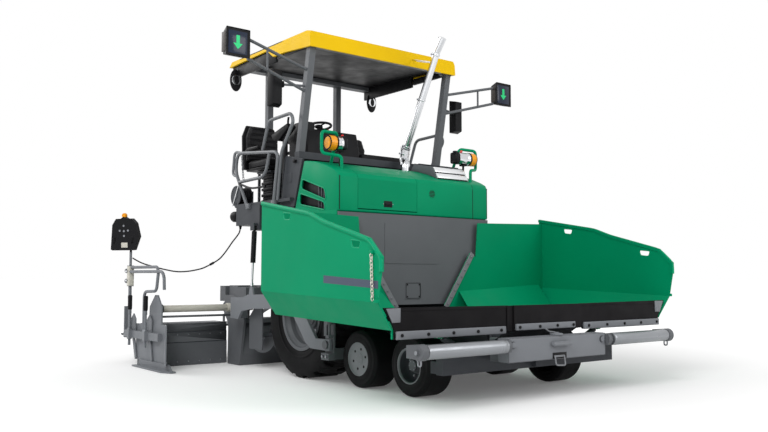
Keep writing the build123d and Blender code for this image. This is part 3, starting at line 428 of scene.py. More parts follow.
def addChain(name, body, start, end, sag, links, material, size=0.010):
    # one link modelled, then copied along a hanging line with every second link turned
    start, end = Vector(start), Vector(end)
    step = (end - start).length / links
    clearSelection()
    bpy.ops.mesh.primitive_torus_add(major_segments=12, minor_segments=6, major_radius=size, minor_radius=size * 0.3)
    link = bpy.context.object
    link.scale = (1, step * 0.66 / size, 1)
    bpy.ops.object.transform_apply(location=False, rotation=False, scale=True)
    chain = []
    for index in range(links):
        shares = [index / links, (index + 1) / links]
        ends = [start.lerp(end, share) - Vector((0, 0, sag * 4 * share * (1 - share))) for share in shares]
        copy = copyPiece(link)
        turn = (ends[1] - ends[0]).to_track_quat("Y", "Z").to_matrix().to_4x4()
        twist = Matrix.Rotation(math.pi / 2 * (index % 2), 4, "Y")
        copy.data.transform(Matrix.Translation((ends[0] + ends[1]) / 2) @ turn @ twist)
        chain.append(copy)
    bpy.data.objects.remove(link)
    return finishPiece(joinPieces(chain), name, body, material)


def addPanel(low, high, bevel=0.004, segments=2):
    return bevelEdges(addBox(low, high), bevel, segments)


def sidePair(side, near, far):
    # low and high Y of a piece between two distances from the middle plane
    return min(side * near, side * far), max(side * near, side * far)


def addSidePanel(side, x, y, z, bevel=0.004, segments=2):
    # a panel on one half: each pair is low and high, and y runs from near to far off the middle plane
    low, high = sidePair(side, *y)
    return addPanel((x[0], low, z[0]), (x[1], high, z[1]), bevel, segments)


def addOutline(points, depth):
    # a flat sheet with an outline of corners, pulled to a thickness along depth
    clearSelection()
    bpy.ops.mesh.primitive_circle_add(vertices=len(points), radius=1, fill_type="NGON")
    sheet = bpy.context.object
    for vertex, point in zip(sheet.data.vertices, points):
        vertex.co = point
    bpy.ops.object.mode_set(mode="EDIT")
    bpy.ops.mesh.select_all(action="SELECT")
    bpy.ops.mesh.extrude_region_move(TRANSFORM_OT_translate={"value": depth})
    bpy.ops.mesh.select_all(action="SELECT")
    bpy.ops.mesh.normals_make_consistent(inside=False)
    bpy.ops.object.mode_set(mode="OBJECT")
    return sheet


def sidePrism(points, y):
    # a side outline in X and Z carried between two distances across
    return addOutline([(x, y[0], z) for x, z in points], (0, y[1] - y[0], 0))


# hood: hollow shell with side vents, lid opening, seams, round vent, lamp guards
hood = {
    "half": 0.889, "skin": 0.012, "seamRight": -0.685, "seamMiddle": -0.020, "seamLeft": 0.688,
    "outline": [(-0.030, 1.456), (-0.014, 1.527), (0.129, 1.942), (0.300, 1.920), (0.470, 1.872), (0.600, 1.822),
                (0.660, 1.790), (0.680, 1.750), (0.680, 1.456)],
    "hollow": [(-0.030, 1.440), (-0.002, 1.520), (0.139, 1.922), (0.300, 1.905), (0.470, 1.857), (0.595, 1.808),
               (0.648, 1.776), (0.668, 1.745), (0.668, 1.440)],
    "lidGap": [(0.300, 1.890), (0.300, 1.990), (0.720, 1.990), (0.720, 1.480), (0.640, 1.480), (0.640, 1.700),
               (0.560, 1.780)], "vents": [[(0.104, 1.780), (0.468, 1.664), (0.494, 1.560), (0.090, 1.690)],
              [(0.070, 1.652), (0.464, 1.546), (0.480, 1.474), (0.064, 1.550)]],
    "guard": [(0.560, 0.776, 1.800), (0.560, 0.776, 1.945), (0.476, 0.930, 1.968), (0.476, 0.930, 2.160),
              (0.440, 0.740, 2.168), (0.312, 0.727, 1.880)],
}
shell = bevelEdges(sidePrism(hood["outline"], (-hood["half"], hood["half"])), 0.012, 3, 50)
inside = hood["half"] - hood["skin"]
cutters = [sidePrism(hood["hollow"], (-inside, inside)),
           sidePrism(hood["lidGap"], (hood["seamRight"] - 0.004, hood["seamMiddle"] + 0.004))]
for side in sides.values():
    for vent in hood["vents"]:
        corners = roundCorners([(x, side * 0.840, z) for x, z in vent], 0.030)
        cutters.append(addOutline(corners, (0, side * 0.070, 0)))
cutWith(shell, cutters)
lower = [shell]
for side in sides.values():
    for near, far, low, high in ((0.470, hood["half"], 1.106, 1.470), (0.460, 0.478, 0.770, 1.440)):
        lower.append(addSidePanel(side, (-0.560, 0.650), (near, far), (low, high), 0.003))
lower.append(addPanel((-0.560, -0.884, 0.770), (-0.540, 0.884, 1.470), 0.003))
hoodShell = onChassis(joinPieces(lower), "hoodShell", greenPaint)
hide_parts("hood")
for sideName, side in sides.items():
    for index, vent in enumerate(hood["vents"]):
        # vent lips in the lighter green, a painted highlight
        lip = addTube([(x, side * 0.8885, z) for x, z in vent], 0.0060, 0.036, 6, closed=True)
        onChassis(lip, f"ventLip_{index}_{sideName}", greenLip)
    # a black sheet behind the vent openings: painted shade of the hood's inside
    onChassis(addSidePanel(side, (0.050, 0.510), (0.845, 0.853), (1.462, 1.800), 0.002), f"ventShadeBack_{sideName}",
              blackPaint)
    fins = []
    y = sidePair(side, 0.853, 0.870)
    for index in range(4):
        x = 0.335 + index * 0.042
        fins.append(addPanel((x, y[0], 1.480), (x + 0.020, y[1], 1.700 - index * 0.014), 0.003))
    onChassis(joinPieces(fins), f"ventFins_{sideName}", framePaint)
    guard = addTube([(x, side * y, z) for x, y, z in hood["guard"]], 0.0150, 0.038, 6)
    onChassis(guard, f"lampGuard_{sideName}", greenPaint)
seams = {"left": hood["seamLeft"], "corner_left": 0.880, "corner_right": -0.880}
for name, y in seams.items():
    line = [(x - 0.0015, y, z - 0.0015) for x, z in hood["outline"][3:]] if name == "left" else [
        (0.6785, y, 1.760), (0.6785, y, 1.470)]
    onChassis(addTube(line, 0.0040, 0.02, 4), f"hoodSeam_{name}", blackPaint)
well = addPanel((0.6795, -0.402, 1.512), (0.6812, -0.308, 1.568), 0.0008)
finishPiece(well, "lidPullWell", "hood_lid", blackPlastic)
finishPiece(addPanel((0.6810, -0.388, 1.531), (0.6870, -0.322, 1.549), 0.003), "lidPullBar", "hood_lid", blackPlastic)
addBolts("lidPullBolts", "hood_lid", [(0.6800, -0.408, 1.540), (0.6800, -0.302, 1.540)], (1, 0, 0), 0.004, 0.003,
         wornSteel)
ventDisc = addTurned([(0.6795, 0.042), (0.6815, 0.041), (0.6820, 0.038), (0.6805, 0.037), (0.6805, 0.0001)],
                     (0, 0.165, 1.664), "X", 1, 36)
onChassis(ventDisc, "roundVent", greenPaint)
# the slots are thin black strips on the disc: painted shade in the openings
slots = []
for rise in (-0.026, -0.013, 0.0, 0.013, 0.026):
    reach = math.sqrt(0.036 ** 2 - rise ** 2)
    slots.append(addPanel((0.6795, 0.165 - reach, 1.664 + rise - 0.0038),
                          (0.6816, 0.165 + reach, 1.664 + rise + 0.0038), 0.0008))
onChassis(joinPieces(slots), "roundVentSlots", blackPaint)
print("hood dressed")

# work lamps: amber lens outside, bright drum, black back and a small red lamp
amberLens = paintFinish("amberLens", (0.86, 0.33, 0.004), 0.22, shade=0.16, coat=0.3, patchScale=20)
redLens = paintFinish("redLens", (0.62, 0.006, 0.006), 0.25, shade=0.1, coat=0.3)
mirrorGlass = paintFinish("mirrorGlass", (0.82, 0.84, 0.86), 0.04, metallic=1.0, shade=0.02)
workLamp = {"x": 0.490, "z": 2.064, "back": {"right": 0.694, "left": 0.612}}
for sideName, side in sides.items():
    centre = (workLamp["x"], 0, workLamp["z"])
    inner = workLamp["back"][sideName]
    drum = addTurned([(inner + 0.044, 0.056), (inner + 0.046, 0.0605), (0.744, 0.0620), (0.752, 0.0590),
                      (0.766, 0.0625), (0.796, 0.0640)], centre, "Y", side, 40)
    onChassis(drum, f"lampDrum_{sideName}", chrome)
    collar = addTurned([(0.796, 0.062), (0.796, 0.0665), (0.812, 0.0665), (0.812, 0.062)], centre, "Y", side, 40)
    onChassis(collar, f"lampCollar_{sideName}", blackPlastic)
    lens = addTurned([(0.812, 0.060), (0.813, 0.0650), (0.846, 0.0665), (0.874, 0.0645), (0.880, 0.0585),
                      (0.8805, 0.0001)], centre, "Y", side, 40)
    onChassis(lens, f"lampLens_{sideName}", amberLens)
    rim = addTurned([(0.876, 0.0640), (0.882, 0.0645), (0.886, 0.0600), (0.884, 0.0540), (0.881, 0.0530)],
                    centre, "Y", side, 40)
    onChassis(rim, f"lampRim_{sideName}", blackPlastic)
    back = addSidePanel(side, (0.436, 0.544), (inner, inner + 0.048), (2.010, 2.122), 0.018, 3)
    insetFaces(back, lambda face: abs(face.normal.y) > 0.9, 0.014, -0.006)
    onChassis(back, f"lampBack_{sideName}", blackPlastic)
    onChassis(addSidePanel(side, (0.472, 0.508), (inner + 0.006, inner + 0.040), (2.118, 2.136), 0.006),
              f"lampCap_{sideName}", blackPlastic)
    red = addTurned([(2.128, 0.013), (2.140, 0.013), (2.147, 0.009), (2.150, 0.0001)], (0.49, side * 0.720, 0), "Z",
                    1, 20)
    onChassis(red, f"lampRed_{sideName}", redLens)
    stem = addRod((0.49, side * 0.745, 1.870), (0.49, side * 0.745, 2.010), 0.0105)
    onChassis(stem, f"lampStem_{sideName}", blackPlastic)
    onChassis(addSidePanel(side, (0.462, 0.518), (0.715, 0.775), (1.992, 2.004), 0.003), f"lampYoke_{sideName}",
              blackPlastic)
print("work lamps built")

# signal heads with an arrow, mirrors, rear lamps and the horn
signGreen = paintFinish("signGreen", (0.035, 0.62, 0.22), 0.35, shade=0.1)
screenBlue = paintFinish("screenBlue", (0.004, 0.012, 0.035), 0.16, shade=0.2, coat=0.4)
bezelGrey = paintFinish("bezelGrey", (0.060, 0.054, 0.050), 0.5, shade=0.1, grain=0.3)
signal = {
    "x": (0.120, 0.225), "y": 1.615, "z": 2.880, "half": (0.115, 0.125),
    "arrow": [(-0.016, 0.062), (0.016, 0.062), (0.016, -0.008), (0.044, -0.008), (0.0, -0.058), (-0.044, -0.008),
              (-0.016, -0.008)],
}
mirror = {"out": 1.115, "x": (-0.045, 0.040), "z": (2.430, 2.780), "half": 0.063, "middle": 2.605,
          "oval": (-1.200, 0.885, 2.930), "ovalSize": (0.022, 0.068, 0.116)}
rearLamp = {"out": 0.880, "z": 1.507}
for sideName, side in sides.items():
    wide, tall = signal["half"]
    y, z = side * signal["y"], signal["z"]
    head = addBox((signal["x"][0], y - wide, z - tall), (signal["x"][1], y + wide, z + tall))
    selectFaces(head, lambda face: face.normal.x < -0.9)
    bpy.ops.transform.resize(value=(1, 0.80, 0.80), center_override=(signal["x"][0], y, z))
    leaveEdit()
    insetFaces(head, lambda face: face.normal.x > 0.9, 0.020, 0)
    insetFaces(head, lambda face: face.normal.x > 0.9 and face.area < 0.043, 0.004, -0.012)
    bevelEdges(head, 0.013, 3, 30)
    onChassis(head, f"signalHead_{sideName}", blackPlastic)
    screen = addPanel((signal["x"][1] - 0.013, y - wide + 0.026, z - tall + 0.026),
                      (signal["x"][1] - 0.009, y + wide - 0.026, z + tall - 0.026), 0.001)
    onChassis(screen, f"signalScreen_{sideName}", screenBlue)
    arrow = addOutline([(signal["x"][1] - 0.009, y + dy, z + dz) for dy, dz in signal["arrow"]], (0.002, 0, 0))
    onChassis(arrow, f"signalArrow_{sideName}", signGreen)
    cheek = addPanel((0.135, y - wide * 0.93 - (0.006 if side < 0 else 0.002), z - 0.085),
                     (0.205, y - wide * 0.93 + 0.004, z + 0.085), 0.002)
    onChassis(cheek, f"signalCheek_{sideName}", bezelGrey)
    # big mirror: tapered housing, glass to the rear
    mirrorY, half = side * mirror["out"], mirror["half"]
    (rearX, frontX), (low, high) = mirror["x"], mirror["z"]
    housing = addBox((rearX, mirrorY - half, low), (frontX, mirrorY + half, high))
    selectFaces(housing, lambda face: face.normal.x > 0.9)
    bpy.ops.transform.resize(value=(1, 0.72, 0.90), center_override=(frontX, mirrorY, mirror["middle"]))
    leaveEdit()
    insetFaces(housing, lambda face: face.normal.x < -0.9, 0.010, -0.006)
    bevelEdges(housing, 0.014, 3, 30)
    onChassis(housing, f"mirrorHousing_{sideName}", blackPlastic)
    glass = addPanel((-0.0405, mirrorY - 0.051, low + 0.014), (-0.0385, mirrorY + 0.051, high - 0.014), 0.0005)
    onChassis(glass, f"mirrorGlass_{sideName}", mirrorGlass)
    clampY = mirrorY - side * half
    clamp = addPanel((-0.012, clampY - 0.012, 2.612), (0.030, clampY + 0.012, 2.668), 0.005)
    onChassis(clamp, f"mirrorClamp_{sideName}", blackPlastic)
    # oval mirror under the roof
    clearSelection()
    ovalX, ovalOut, ovalZ = mirror["oval"]
    bpy.ops.mesh.primitive_uv_sphere_add(segments=32, ring_count=16, radius=1,
                                         location=(ovalX, side * ovalOut, ovalZ))
    oval = bpy.context.object
    oval.scale = mirror["ovalSize"]
    onChassis(oval, f"ovalMirror_{sideName}", blackPlastic)
    face = addTurned([(0.0, 0.052), (0.003, 0.050), (0.003, 0.0001)], (ovalX + 0.017, side * ovalOut, ovalZ), "X", 1,
                     32)
    onChassis(face, f"ovalGlass_{sideName}", mirrorGlass)
    # round rear lamp
    rear = addTurned([(-1.100, 0.0001), (-1.100, 0.040), (-1.120, 0.052), (-1.176, 0.055), (-1.186, 0.055),
                      (-1.190, 0.050),
                      (-1.184, 0.046), (-1.182, 0.0001)], (0, side * rearLamp["out"], rearLamp["z"]), "X", 1, 32)
    onChassis(rear, f"rearLamp_{sideName}", blackPlastic)
    bracket = addSidePanel(side, (-1.112, -1.060), (0.868, 0.892), (1.494, 1.520), 0.003)
    onChassis(bracket, f"rearLampFoot_{sideName}", greyPaint)
horn = addTurned([(0.562, 0.0001), (0.562, 0.040), (0.574, 0.046), (0.592, 0.043), (0.640, 0.016), (0.656, 0.007),
                  (0.657, 0.0001)], (-1.275, 0, 2.285), "Y", -1, 28)
onChassis(horn, "horn", blackPlastic)
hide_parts("lamps_and_mirrors")

# cable reel: two discs, a drum and a bright handle bar across the outer one
reel = {"x": -1.090, "z": 1.712}
drum = addTurned([(0.790, 0.0001), (0.790, 0.105), (0.800, 0.105), (0.801, 0.080), (0.812, 0.086), (0.824, 0.080),
                  (0.836, 0.086), (0.848, 0.080), (0.860, 0.086), (0.872, 0.080), (0.884, 0.086), (0.896, 0.080),
                  (0.914, 0.082), (0.916, 0.104), (0.918, 0.0001)], (reel["x"], 0, reel["z"]), "Y", -1, 40)
onChassis(drum, "reelDrum", blackPlastic)
disc = addTurned([(0.918, 0.0001), (0.918, 0.1045), (0.922, 0.1050), (0.926, 0.1030), (0.926, 0.090), (0.923, 0.086),
                  (0.923, 0.034), (0.928, 0.030), (0.928, 0.0001)], (reel["x"], 0, reel["z"]), "Y", -1, 40)
onChassis(disc, "reelDisc", framePaint)
handleBar = addRod((reel["x"] - 0.055, -0.9285, reel["z"] - 0.098), (reel["x"] + 0.062, -0.9285, reel["z"] + 0.100),
                   0.0055)
onChassis(handleBar, "reelBar", brightAluminium)
print("lamps, mirrors and reel built")


# wheels: grooved tyres, stepped rims with hub bolts, flat discs, deep dishes
def ringPlaces(centre, side, out, radius, count, start=0):
    # places round an axle, a distance out from the wheel's middle
    turns = [math.tau * (i + start) / count for i in range(count)]
    return [(centre[0] + radius * math.cos(a), centre[1] + side * out,
             centre[2] + radius * math.sin(a)) for a in turns]


wheels = {
    "rear": {"x": 0.110, "z": 0.546, "y": 0.7285},
    "small": {"z": 0.2325, "y": 0.753, "x": {"front": 1.595, "middle": 0.953}},
}
rimLight = paintFinish("rimLight", (0.200, 0.208, 0.222), 0.40, shade=0.08, grain=0.1, shine=0.25)


def grooveTyre(sideName, side):
    # the tyre's solid, merged, with the slanted tread grooves cut across both halves
    rear = wheels["rear"]
    tyre = copyNode(f"tyre_rear_{sideName}")
    centre = Matrix.Translation((rear["x"], side * rear["y"], rear["z"]))
    length = tread["half"] + 0.020 - tread["rib"]
    for half in (-1, 1):
        groove = addBox((-tread["width"] / 2, -length / 2, -tread["depth"]),
                        (tread["width"] / 2, length / 2, tread["depth"]))
        grooves = []
        for index in range(tread["count"]):
            turn = math.tau / tread["count"] * (index + half / 4)
            copy = copyPiece(groove)
            copy.data.transform(centre @ Matrix.Rotation(turn, 4, "Y")
                                @ Matrix.Translation((0, half * (tread["rib"] + length / 2), rear["z"]))
                                @ Matrix.Rotation(math.radians(tread["slant"]) * half, 4, "Z"))
            grooves.append(copy)
        bpy.data.objects.remove(groove)
        cutWith(tyre, [joinPieces(grooves)])
    finishPiece(tyre, f"tyreBody_rear_{sideName}", f"rear_wheel_{sideName}", tyreRubber)
    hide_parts(f"tyre_rear_{sideName}")


tread = {"half": 0.1825, "rib": 0.026, "width": 0.058, "depth": 0.024, "count": 18, "slant": 24}
for sideName, side in sides.items():
    rear = wheels["rear"]
    centre = (rear["x"], side * rear["y"], rear["z"])
    body = f"rear_wheel_{sideName}"
    grooveTyre(sideName, side)
    # rim: rolled flange, stepped well, flat disc and a hub with its cap
    rim = addTurned([(0.150, 0.306), (0.171, 0.307), (0.172, 0.300), (0.168, 0.284), (0.152, 0.274), (0.128, 0.266),
                     (0.120, 0.252), (0.078, 0.247), (0.070, 0.236), (0.058, 0.205), (0.052, 0.178), (0.050, 0.125),
                     (0.074, 0.120), (0.080, 0.112), (0.080, 0.098), (0.090, 0.094), (0.090, 0.076), (0.082, 0.070),
                     (0.082, 0.0001)], centre, "Y", side, 64)
    finishPiece(rim, f"rimFace_rear_{sideName}", body, greyPaint)
    addBolts(f"rimNuts_rear_{sideName}", body, ringPlaces(centre, side, 0.051, 0.150, 10, 0.5), (0, side, 0), 0.0125,
             0.020, wornSteel, 6)
    addBolts(f"hubBolts_rear_{sideName}", body, ringPlaces(centre, side, 0.090, 0.086, 8), (0, side, 0), 0.0065,
             0.007, wornSteel, 6)
    # raised ring on the tyre's outer wall
    ring = addTurned([(0.1826, 0.352), (0.1852, 0.356), (0.1852, 0.366), (0.1826, 0.370)], centre, "Y", side, 64)
    finishPiece(ring, f"tyreRing_rear_{sideName}", body, tyreRubber)
    for axle, x in wheels["small"]["x"].items():
        centre = (x, side * wheels["small"]["y"], wheels["small"]["z"])
        body = f"wheel_{axle}_{sideName}"
        # the tyre's bead closes in over the rim's edge
        bead = addTurned([(0.1130, 0.172), (0.1262, 0.180), (0.1285, 0.170), (0.1300, 0.152), (0.1290, 0.138),
                          (0.1255, 0.133), (0.1140, 0.132)], centre, "Y", side, 56)
        finishPiece(bead, f"tyreBead_{axle}_{sideName}", body, tyreRubber)
        if axle == "middle":
            face = addTurned([(0.1265, 0.136), (0.1290, 0.134), (0.1285, 0.130), (0.1220, 0.126), (0.1165, 0.121),
                              (0.1135, 0.112), (0.1135, 0.060), (0.1145, 0.056), (0.1145, 0.0001)], centre, "Y", side,
                             56)
            finishPiece(face, f"rimFace_{axle}_{sideName}", body, rimLight)
            # black discs on the rim face: painted shade where the holes are
            places = ringPlaces(centre, side, 0.1135, 0.098, 6, 0.25)
            places = [(u + (x - u) * 0.16, v, w + (centre[2] - w) * 0.16) for u, v, w in places]
            addBolts(f"rimHoleShade_{axle}_{sideName}", body, places, (0, side, 0), 0.0110, 0.0018, blackPaint, 16)
            cap = addTurned([(0.1140, 0.050), (0.1170, 0.049), (0.1185, 0.044), (0.1185, 0.0001)], centre, "Y", side,
                            40)
            finishPiece(cap, f"rimCap_{axle}_{sideName}", body, rimLight)
            addBolts(f"capBolts_{axle}_{sideName}", body, ringPlaces(centre, side, 0.1185, 0.034, 5), (0, side, 0),
                     0.0042, 0.0035, wornSteel, 6)
        else:
            ring = addTurned([(0.1265, 0.137), (0.1295, 0.135), (0.1295, 0.129), (0.1240, 0.1245), (0.1120, 0.1235)],
                             centre, "Y", side, 56)
            finishPiece(ring, f"rimRing_{axle}_{sideName}", body, rimLight)
            face = addTurned([(0.1130, 0.1240), (0.070, 0.1225), (0.046, 0.118), (0.038, 0.110), (0.036, 0.062)],
                             centre, "Y", side, 56)
            finishPiece(face, f"rimFace_{axle}_{sideName}", body, framePaint)
            hub = addTurned([(0.036, 0.064), (0.060, 0.058), (0.084, 0.046), (0.0935, 0.042), (0.0935, 0.0001)],
                            centre, "Y", side, 40)
            finishPiece(hub, f"rimHub_{axle}_{sideName}", body, greyPaint)
            addBolts(f"rimNuts_{axle}_{sideName}", body, ringPlaces(centre, side, 0.036, 0.086, 8, 0.5), (0, side, 0),
                     0.0105, 0.016, wornSteel, 6)
            addBolts(f"capBolts_{axle}_{sideName}", body, ringPlaces(centre, side, 0.0935, 0.033, 6), (0, side, 0),
                     0.0045, 0.0045, wornSteel, 6)
print("wheels dressed")

# hopper wings: stripe, rolled edge, slot liners, wear strip, chain, corner plate and apron bars
wingTrim = {
    "half": 1.634,
    "stripe": [(1.565, 0.908), (2.190, 0.872), (2.190, 0.822), (1.565, 0.855)],
    "edge": [(0.692, 1.478), (1.382, 1.357), (1.562, 1.290), (2.092, 1.145), (2.222, 1.024), (2.222, 0.932)],
    "handSlots": [(1.067, 1.352), (1.943, 1.118)],
    "slotCorners": [(-0.058, 0.030), (0.058, 0.018), (0.042, -0.032), (-0.046, -0.022)],
    "wallX": {"right": 0.702, "left": 0.722},
    "wearStrip": [(0.650, 1.106), (0.606, 1.134), (0.262, 0.634), (0.306, 0.604)],
    "tabs": [(2.133, 1.058), (2.180, 0.742)],
    "cornerPlate": [(1.432, 0.600), (1.500, 0.598), (1.552, 0.692), (1.430, 0.694)],
}
stripeSlate = paintFinish("stripeSlate", (0.070, 0.086, 0.125), 0.42, shade=0.04, grain=0.06)
for sideName, side in sides.items():
    body = f"wing_{sideName}"
    outer = side * wingTrim["half"]
    # slate stripe along the outside; the wall beside it stays bare
    stripe = addOutline([(x, outer, z) for x, z in wingTrim["stripe"]], (0, side * 0.0012, 0))
    finishPiece(stripe, f"wingStripe_{sideName}", body, stripeSlate)
    # rolled edge along the top, in the lighter green of a painted highlight
    edge = addTube([(x, outer, z) for x, z in wingTrim["edge"]], 0.0125, 0.05, 6)
    finishPiece(edge, f"wingRoll_{sideName}", body, greenLip)
    # liners of the two hand slots, in the lighter green of a painted highlight
    for index, (x, z) in enumerate(wingTrim["handSlots"]):
        hole = [(x + u, side * 1.630, z + w) for u, w in wingTrim["slotCorners"]]
        finishPiece(addTube(hole, 0.0055, 0.02, 4, closed=True), f"slotLip_{index}_{sideName}", body, greenLip)
    # wear strip of the rear wall, with its bolts
    wallX = wingTrim["wallX"][sideName]
    strip = bevelEdges(addOutline([(wallX + 0.010, side * y, z) for y, z in wingTrim["wearStrip"]], (0.008, 0, 0)),
                       0.002, 1)
    finishPiece(strip, f"wearStrip_{sideName}", body, rimLight)
    places = [(wallX + 0.018, side * (0.606 - 0.300 * t), 1.086 - 0.438 * t) for t in [i / 7 for i in range(8)]]
    addBolts(f"wearBolts_{sideName}", body, places, (1, 0, 0), 0.0105, 0.007, plateGrey, 6)
    # stiffening rib at the rear wall's outer corner
    rib = addSidePanel(side, (0.694, 0.708), (1.560, 1.6335), (0.900, 1.440), 0.003)
    finishPiece(rib, f"wingRib_{sideName}", body, greenPaint)
    # chain hooked at the front edge, with its tabs
    if side < 0:
        addChain(f"wingChain_{sideName}", body, (2.133, outer - 0.014, 1.045), (2.148, outer - 0.014, 0.748), 0.0, 13,
                 chainZinc, 0.0100)
    for x, z in wingTrim["tabs"]:
        tab = addSidePanel(side, (x - 0.020, x + 0.020), (1.628, 1.652), (z - 0.012, z + 0.012), 0.004)
        finishPiece(tab, f"wingTab_{round(z * 1000)}_{sideName}", body, greenPaint)
    # corner plate under the front of the floor
    plate = bevelEdges(addOutline([(2.1645, side * y, z) for y, z in wingTrim["cornerPlate"]], (0.007, 0, 0)), 0.003,
                       2)
    finishPiece(plate, f"cornerPlate_{sideName}", body, plateGrey)
    # clamping bars and bolts of the apron
    finishPiece(addSidePanel(side, (2.1625, 2.183), (0.446, 1.470), (0.487, 0.542), 0.006, 3), f"apronBar_{sideName}",
                body, plateGrey)
    places = [(2.183, side * y, 0.515) for y in (0.500, 0.735, 0.970, 1.200, 1.430)]
    addBolts(f"apronBolts_{sideName}", body, places, (1, 0, 0), 0.0125, 0.009, blackPaint, 6)
    # upper hem of the rubber
    hem = addSidePanel(side, (2.1635, 2.1675), (0.412, 1.560), (0.672, 0.688), 0.0015)
    finishPiece(hem, f"apronHem_{sideName}", body, apronRubber)
centreBar = addPanel((2.1835, -0.358, 0.506), (2.203, 0.313, 0.554), 0.006, 3)
onChassis(centreBar, "apronBar_centre", plateGrey)
flap = addPanel((2.1665, -0.425, 0.500), (2.1712, 0.425, 0.689), 0.0015, 1)
onChassis(flap, "apronFlap_centre", apronRubber)
addBolts("apronBolts_centre", "chassis", [(2.203, y, 0.530) for y in (-0.325, -0.105, 0.095, 0.285)], (1, 0, 0),
         0.0125, 0.009, blackPaint, 6)
print("hopper wings dressed")

# push beam: block, hook plate, wire handle, brackets and pins; roller sleeves with rings
onBeam(addPanel((2.192, -0.552, 0.288), (2.3015, 0.552, 0.462), 0.011, 3), "beamBlock", plateGrey)
# a thin black sheet on the block's face: painted shade in the notch
onBeam(addPanel((2.298, -0.082, 0.292), (2.3025, 0.078, 0.338), 0.001), "beamNotch", blackPaint)
onBeam(addPanel((2.2990, -0.066, 0.303), (2.3085, 0.050, 0.318), 0.003), "beamSill", rimLight)
lug = bevelEdges(addBox((2.2955, -0.100, 0.386), (2.3455, 0.100, 0.420)), 0.0155, 5, 30)
onBeam(lug, "hookPlate", plateGrey)
wire = addTube([(2.306, -0.058, 0.312), (2.352, -0.100, 0.252), (2.352, 0.004, 0.246), (2.306, 0.046, 0.312)], 0.0055,
               0.02, 5)
onBeam(wire, "hookHandle", rimLight)
ear = addTurned([(0.4615, 0.0001), (0.4615, 0.046), (0.465, 0.050), (0.474, 0.050), (0.478, 0.046), (0.478, 0.022),
                 (0.486, 0.020), (0.486, 0.0001)], (2.262, 0.010, 0), "Z", 1, 36)
onBeam(ear, "beamEar", plateGrey)
lever = addTube([(2.250, 0.006, 0.484), (2.235, -0.045, 0.490), (2.245, -0.085, 0.512)], 0.006, 0.02, 5)
onBeam(lever, "beamLever", rimLight)
pins = [(2.309, -0.505, 0.414), (2.309, 0.505, 0.414)]
addBolts("beamPins", "push_beam", pins, (1, 0, 0), 0.0215, 0.004, plateGrey, 28)
for index, y in enumerate((-0.505, 0.505)):
    ring = addTurned([(2.3010, 0.0225), (2.3010, 0.0265), (2.3045, 0.0260), (2.3045, 0.0225)], (0, y, 0.414), "X", 1,
                     32)
    onBeam(ring, f"beamPinRing_{index}", framePaint)
roller = {"centre": (2.313, 0, 0.410), "shackleX": (2.285, 2.315), "shackleZ": (0.322, 0.372), "shackleOut": 1.380}
for sideName, side in sides.items():
    rail = addSidePanel(side, (2.200, 2.2485), (0.560, 1.392), (0.378, 0.442), 0.006, 2)
    onBeam(rail, f"rollerRail_{sideName}", greyPaint)
    ear = addTurned([(1.348, 0.0001), (1.348, 0.050), (1.353, 0.054), (1.400, 0.054), (1.405, 0.050), (1.405, 0.024),
                     (1.412, 0.022), (1.412, 0.0001)], roller["centre"], "Y", side, 36)
    onBeam(ear, f"rollerEar_{sideName}", greyPaint)
    innerEar = addTurned([(0.596, 0.0001), (0.596, 0.040), (0.590, 0.046), (0.556, 0.046), (0.552, 0.042),
                          (0.552, 0.0001)], (2.300, 0, 0.410), "Y", side, 36)
    onBeam(innerEar, f"rollerEarIn_{sideName}", greyPaint)
    # roller sleeve with turned ends and two rings at its inner end
    sleeve = addTurned([(0.603, 0.0205), (0.603, 0.040), (0.606, 0.0445), (0.612, 0.0485), (0.640, 0.0488),
                        (0.642, 0.0470), (0.646, 0.0470), (0.648, 0.0488), (0.664, 0.0488), (0.666, 0.0470),
                        (0.670, 0.0470), (0.672, 0.0488), (1.326, 0.0488), (1.336, 0.0465), (1.3415, 0.040),
                        (1.3415, 0.0205)], roller["centre"], "Y", side, 56)
    finishPiece(sleeve, f"rollerSleeve_{sideName}", f"push_roller_{sideName}", rollerSteel)
    nut = addTurned([(1.412, 0.0001), (1.412, 0.016), (1.424, 0.016), (1.426, 0.013), (1.426, 0.0001)],
                    roller["centre"], "Y", side, 6)
    onBeam(nut, f"rollerNut_{sideName}", wornSteel)
    # shackle and short chain under the outer bracket
    (rearX, frontX), (low, high), y = roller["shackleX"], roller["shackleZ"], side * roller["shackleOut"]
    shackle = addTube([(rearX, y, high), (rearX, y, low), (frontX, y, low), (frontX, y, high)], 0.006, 0.02, 5)
    onBeam(shackle, f"shackle_{sideName}", wornSteel)
print("push beam dressed")

# hopper floor: sloping plates at the foot of the rear walls, and the small cover on the bulkhead
wallFoot = {"x": {"right": 0.713, "left": 0.733}, "reach": 0.230, "rear": [(0.452, 0.765), (1.560, 0.822)],
            "front": [(1.490, 0.610), (0.400, 0.556)]}
for sideName, side in sides.items():
    rearX = wallFoot["x"][sideName]
    corners = [(rearX, side * y, z) for y, z in wallFoot["rear"]]
    corners += [(rearX + wallFoot["reach"], side * y, z) for y, z in wallFoot["front"]]
    finishPiece(addOutline(corners, (0, 0, -0.004)), f"wallFoot_{sideName}", f"wing_{sideName}", greenPaint)
bulkheadX = 0.6845
coverLine = addTube([(bulkheadX, y, z) for y, z in ((-0.150, 0.842), (0.018, 0.842), (0.018, 0.706),
                                                    (-0.150, 0.706))], 0.0022, 0.012, 4, closed=True)
onChassis(coverLine, "bulkheadCoverLine", blackPaint)
addBolts("bulkheadCoverBolts", "chassis", [(bulkheadX, y, z) for y in (-0.136, 0.004) for z in (0.720, 0.828)],
         (1, 0, 0), 0.008, 0.004, blackPaint, 6)

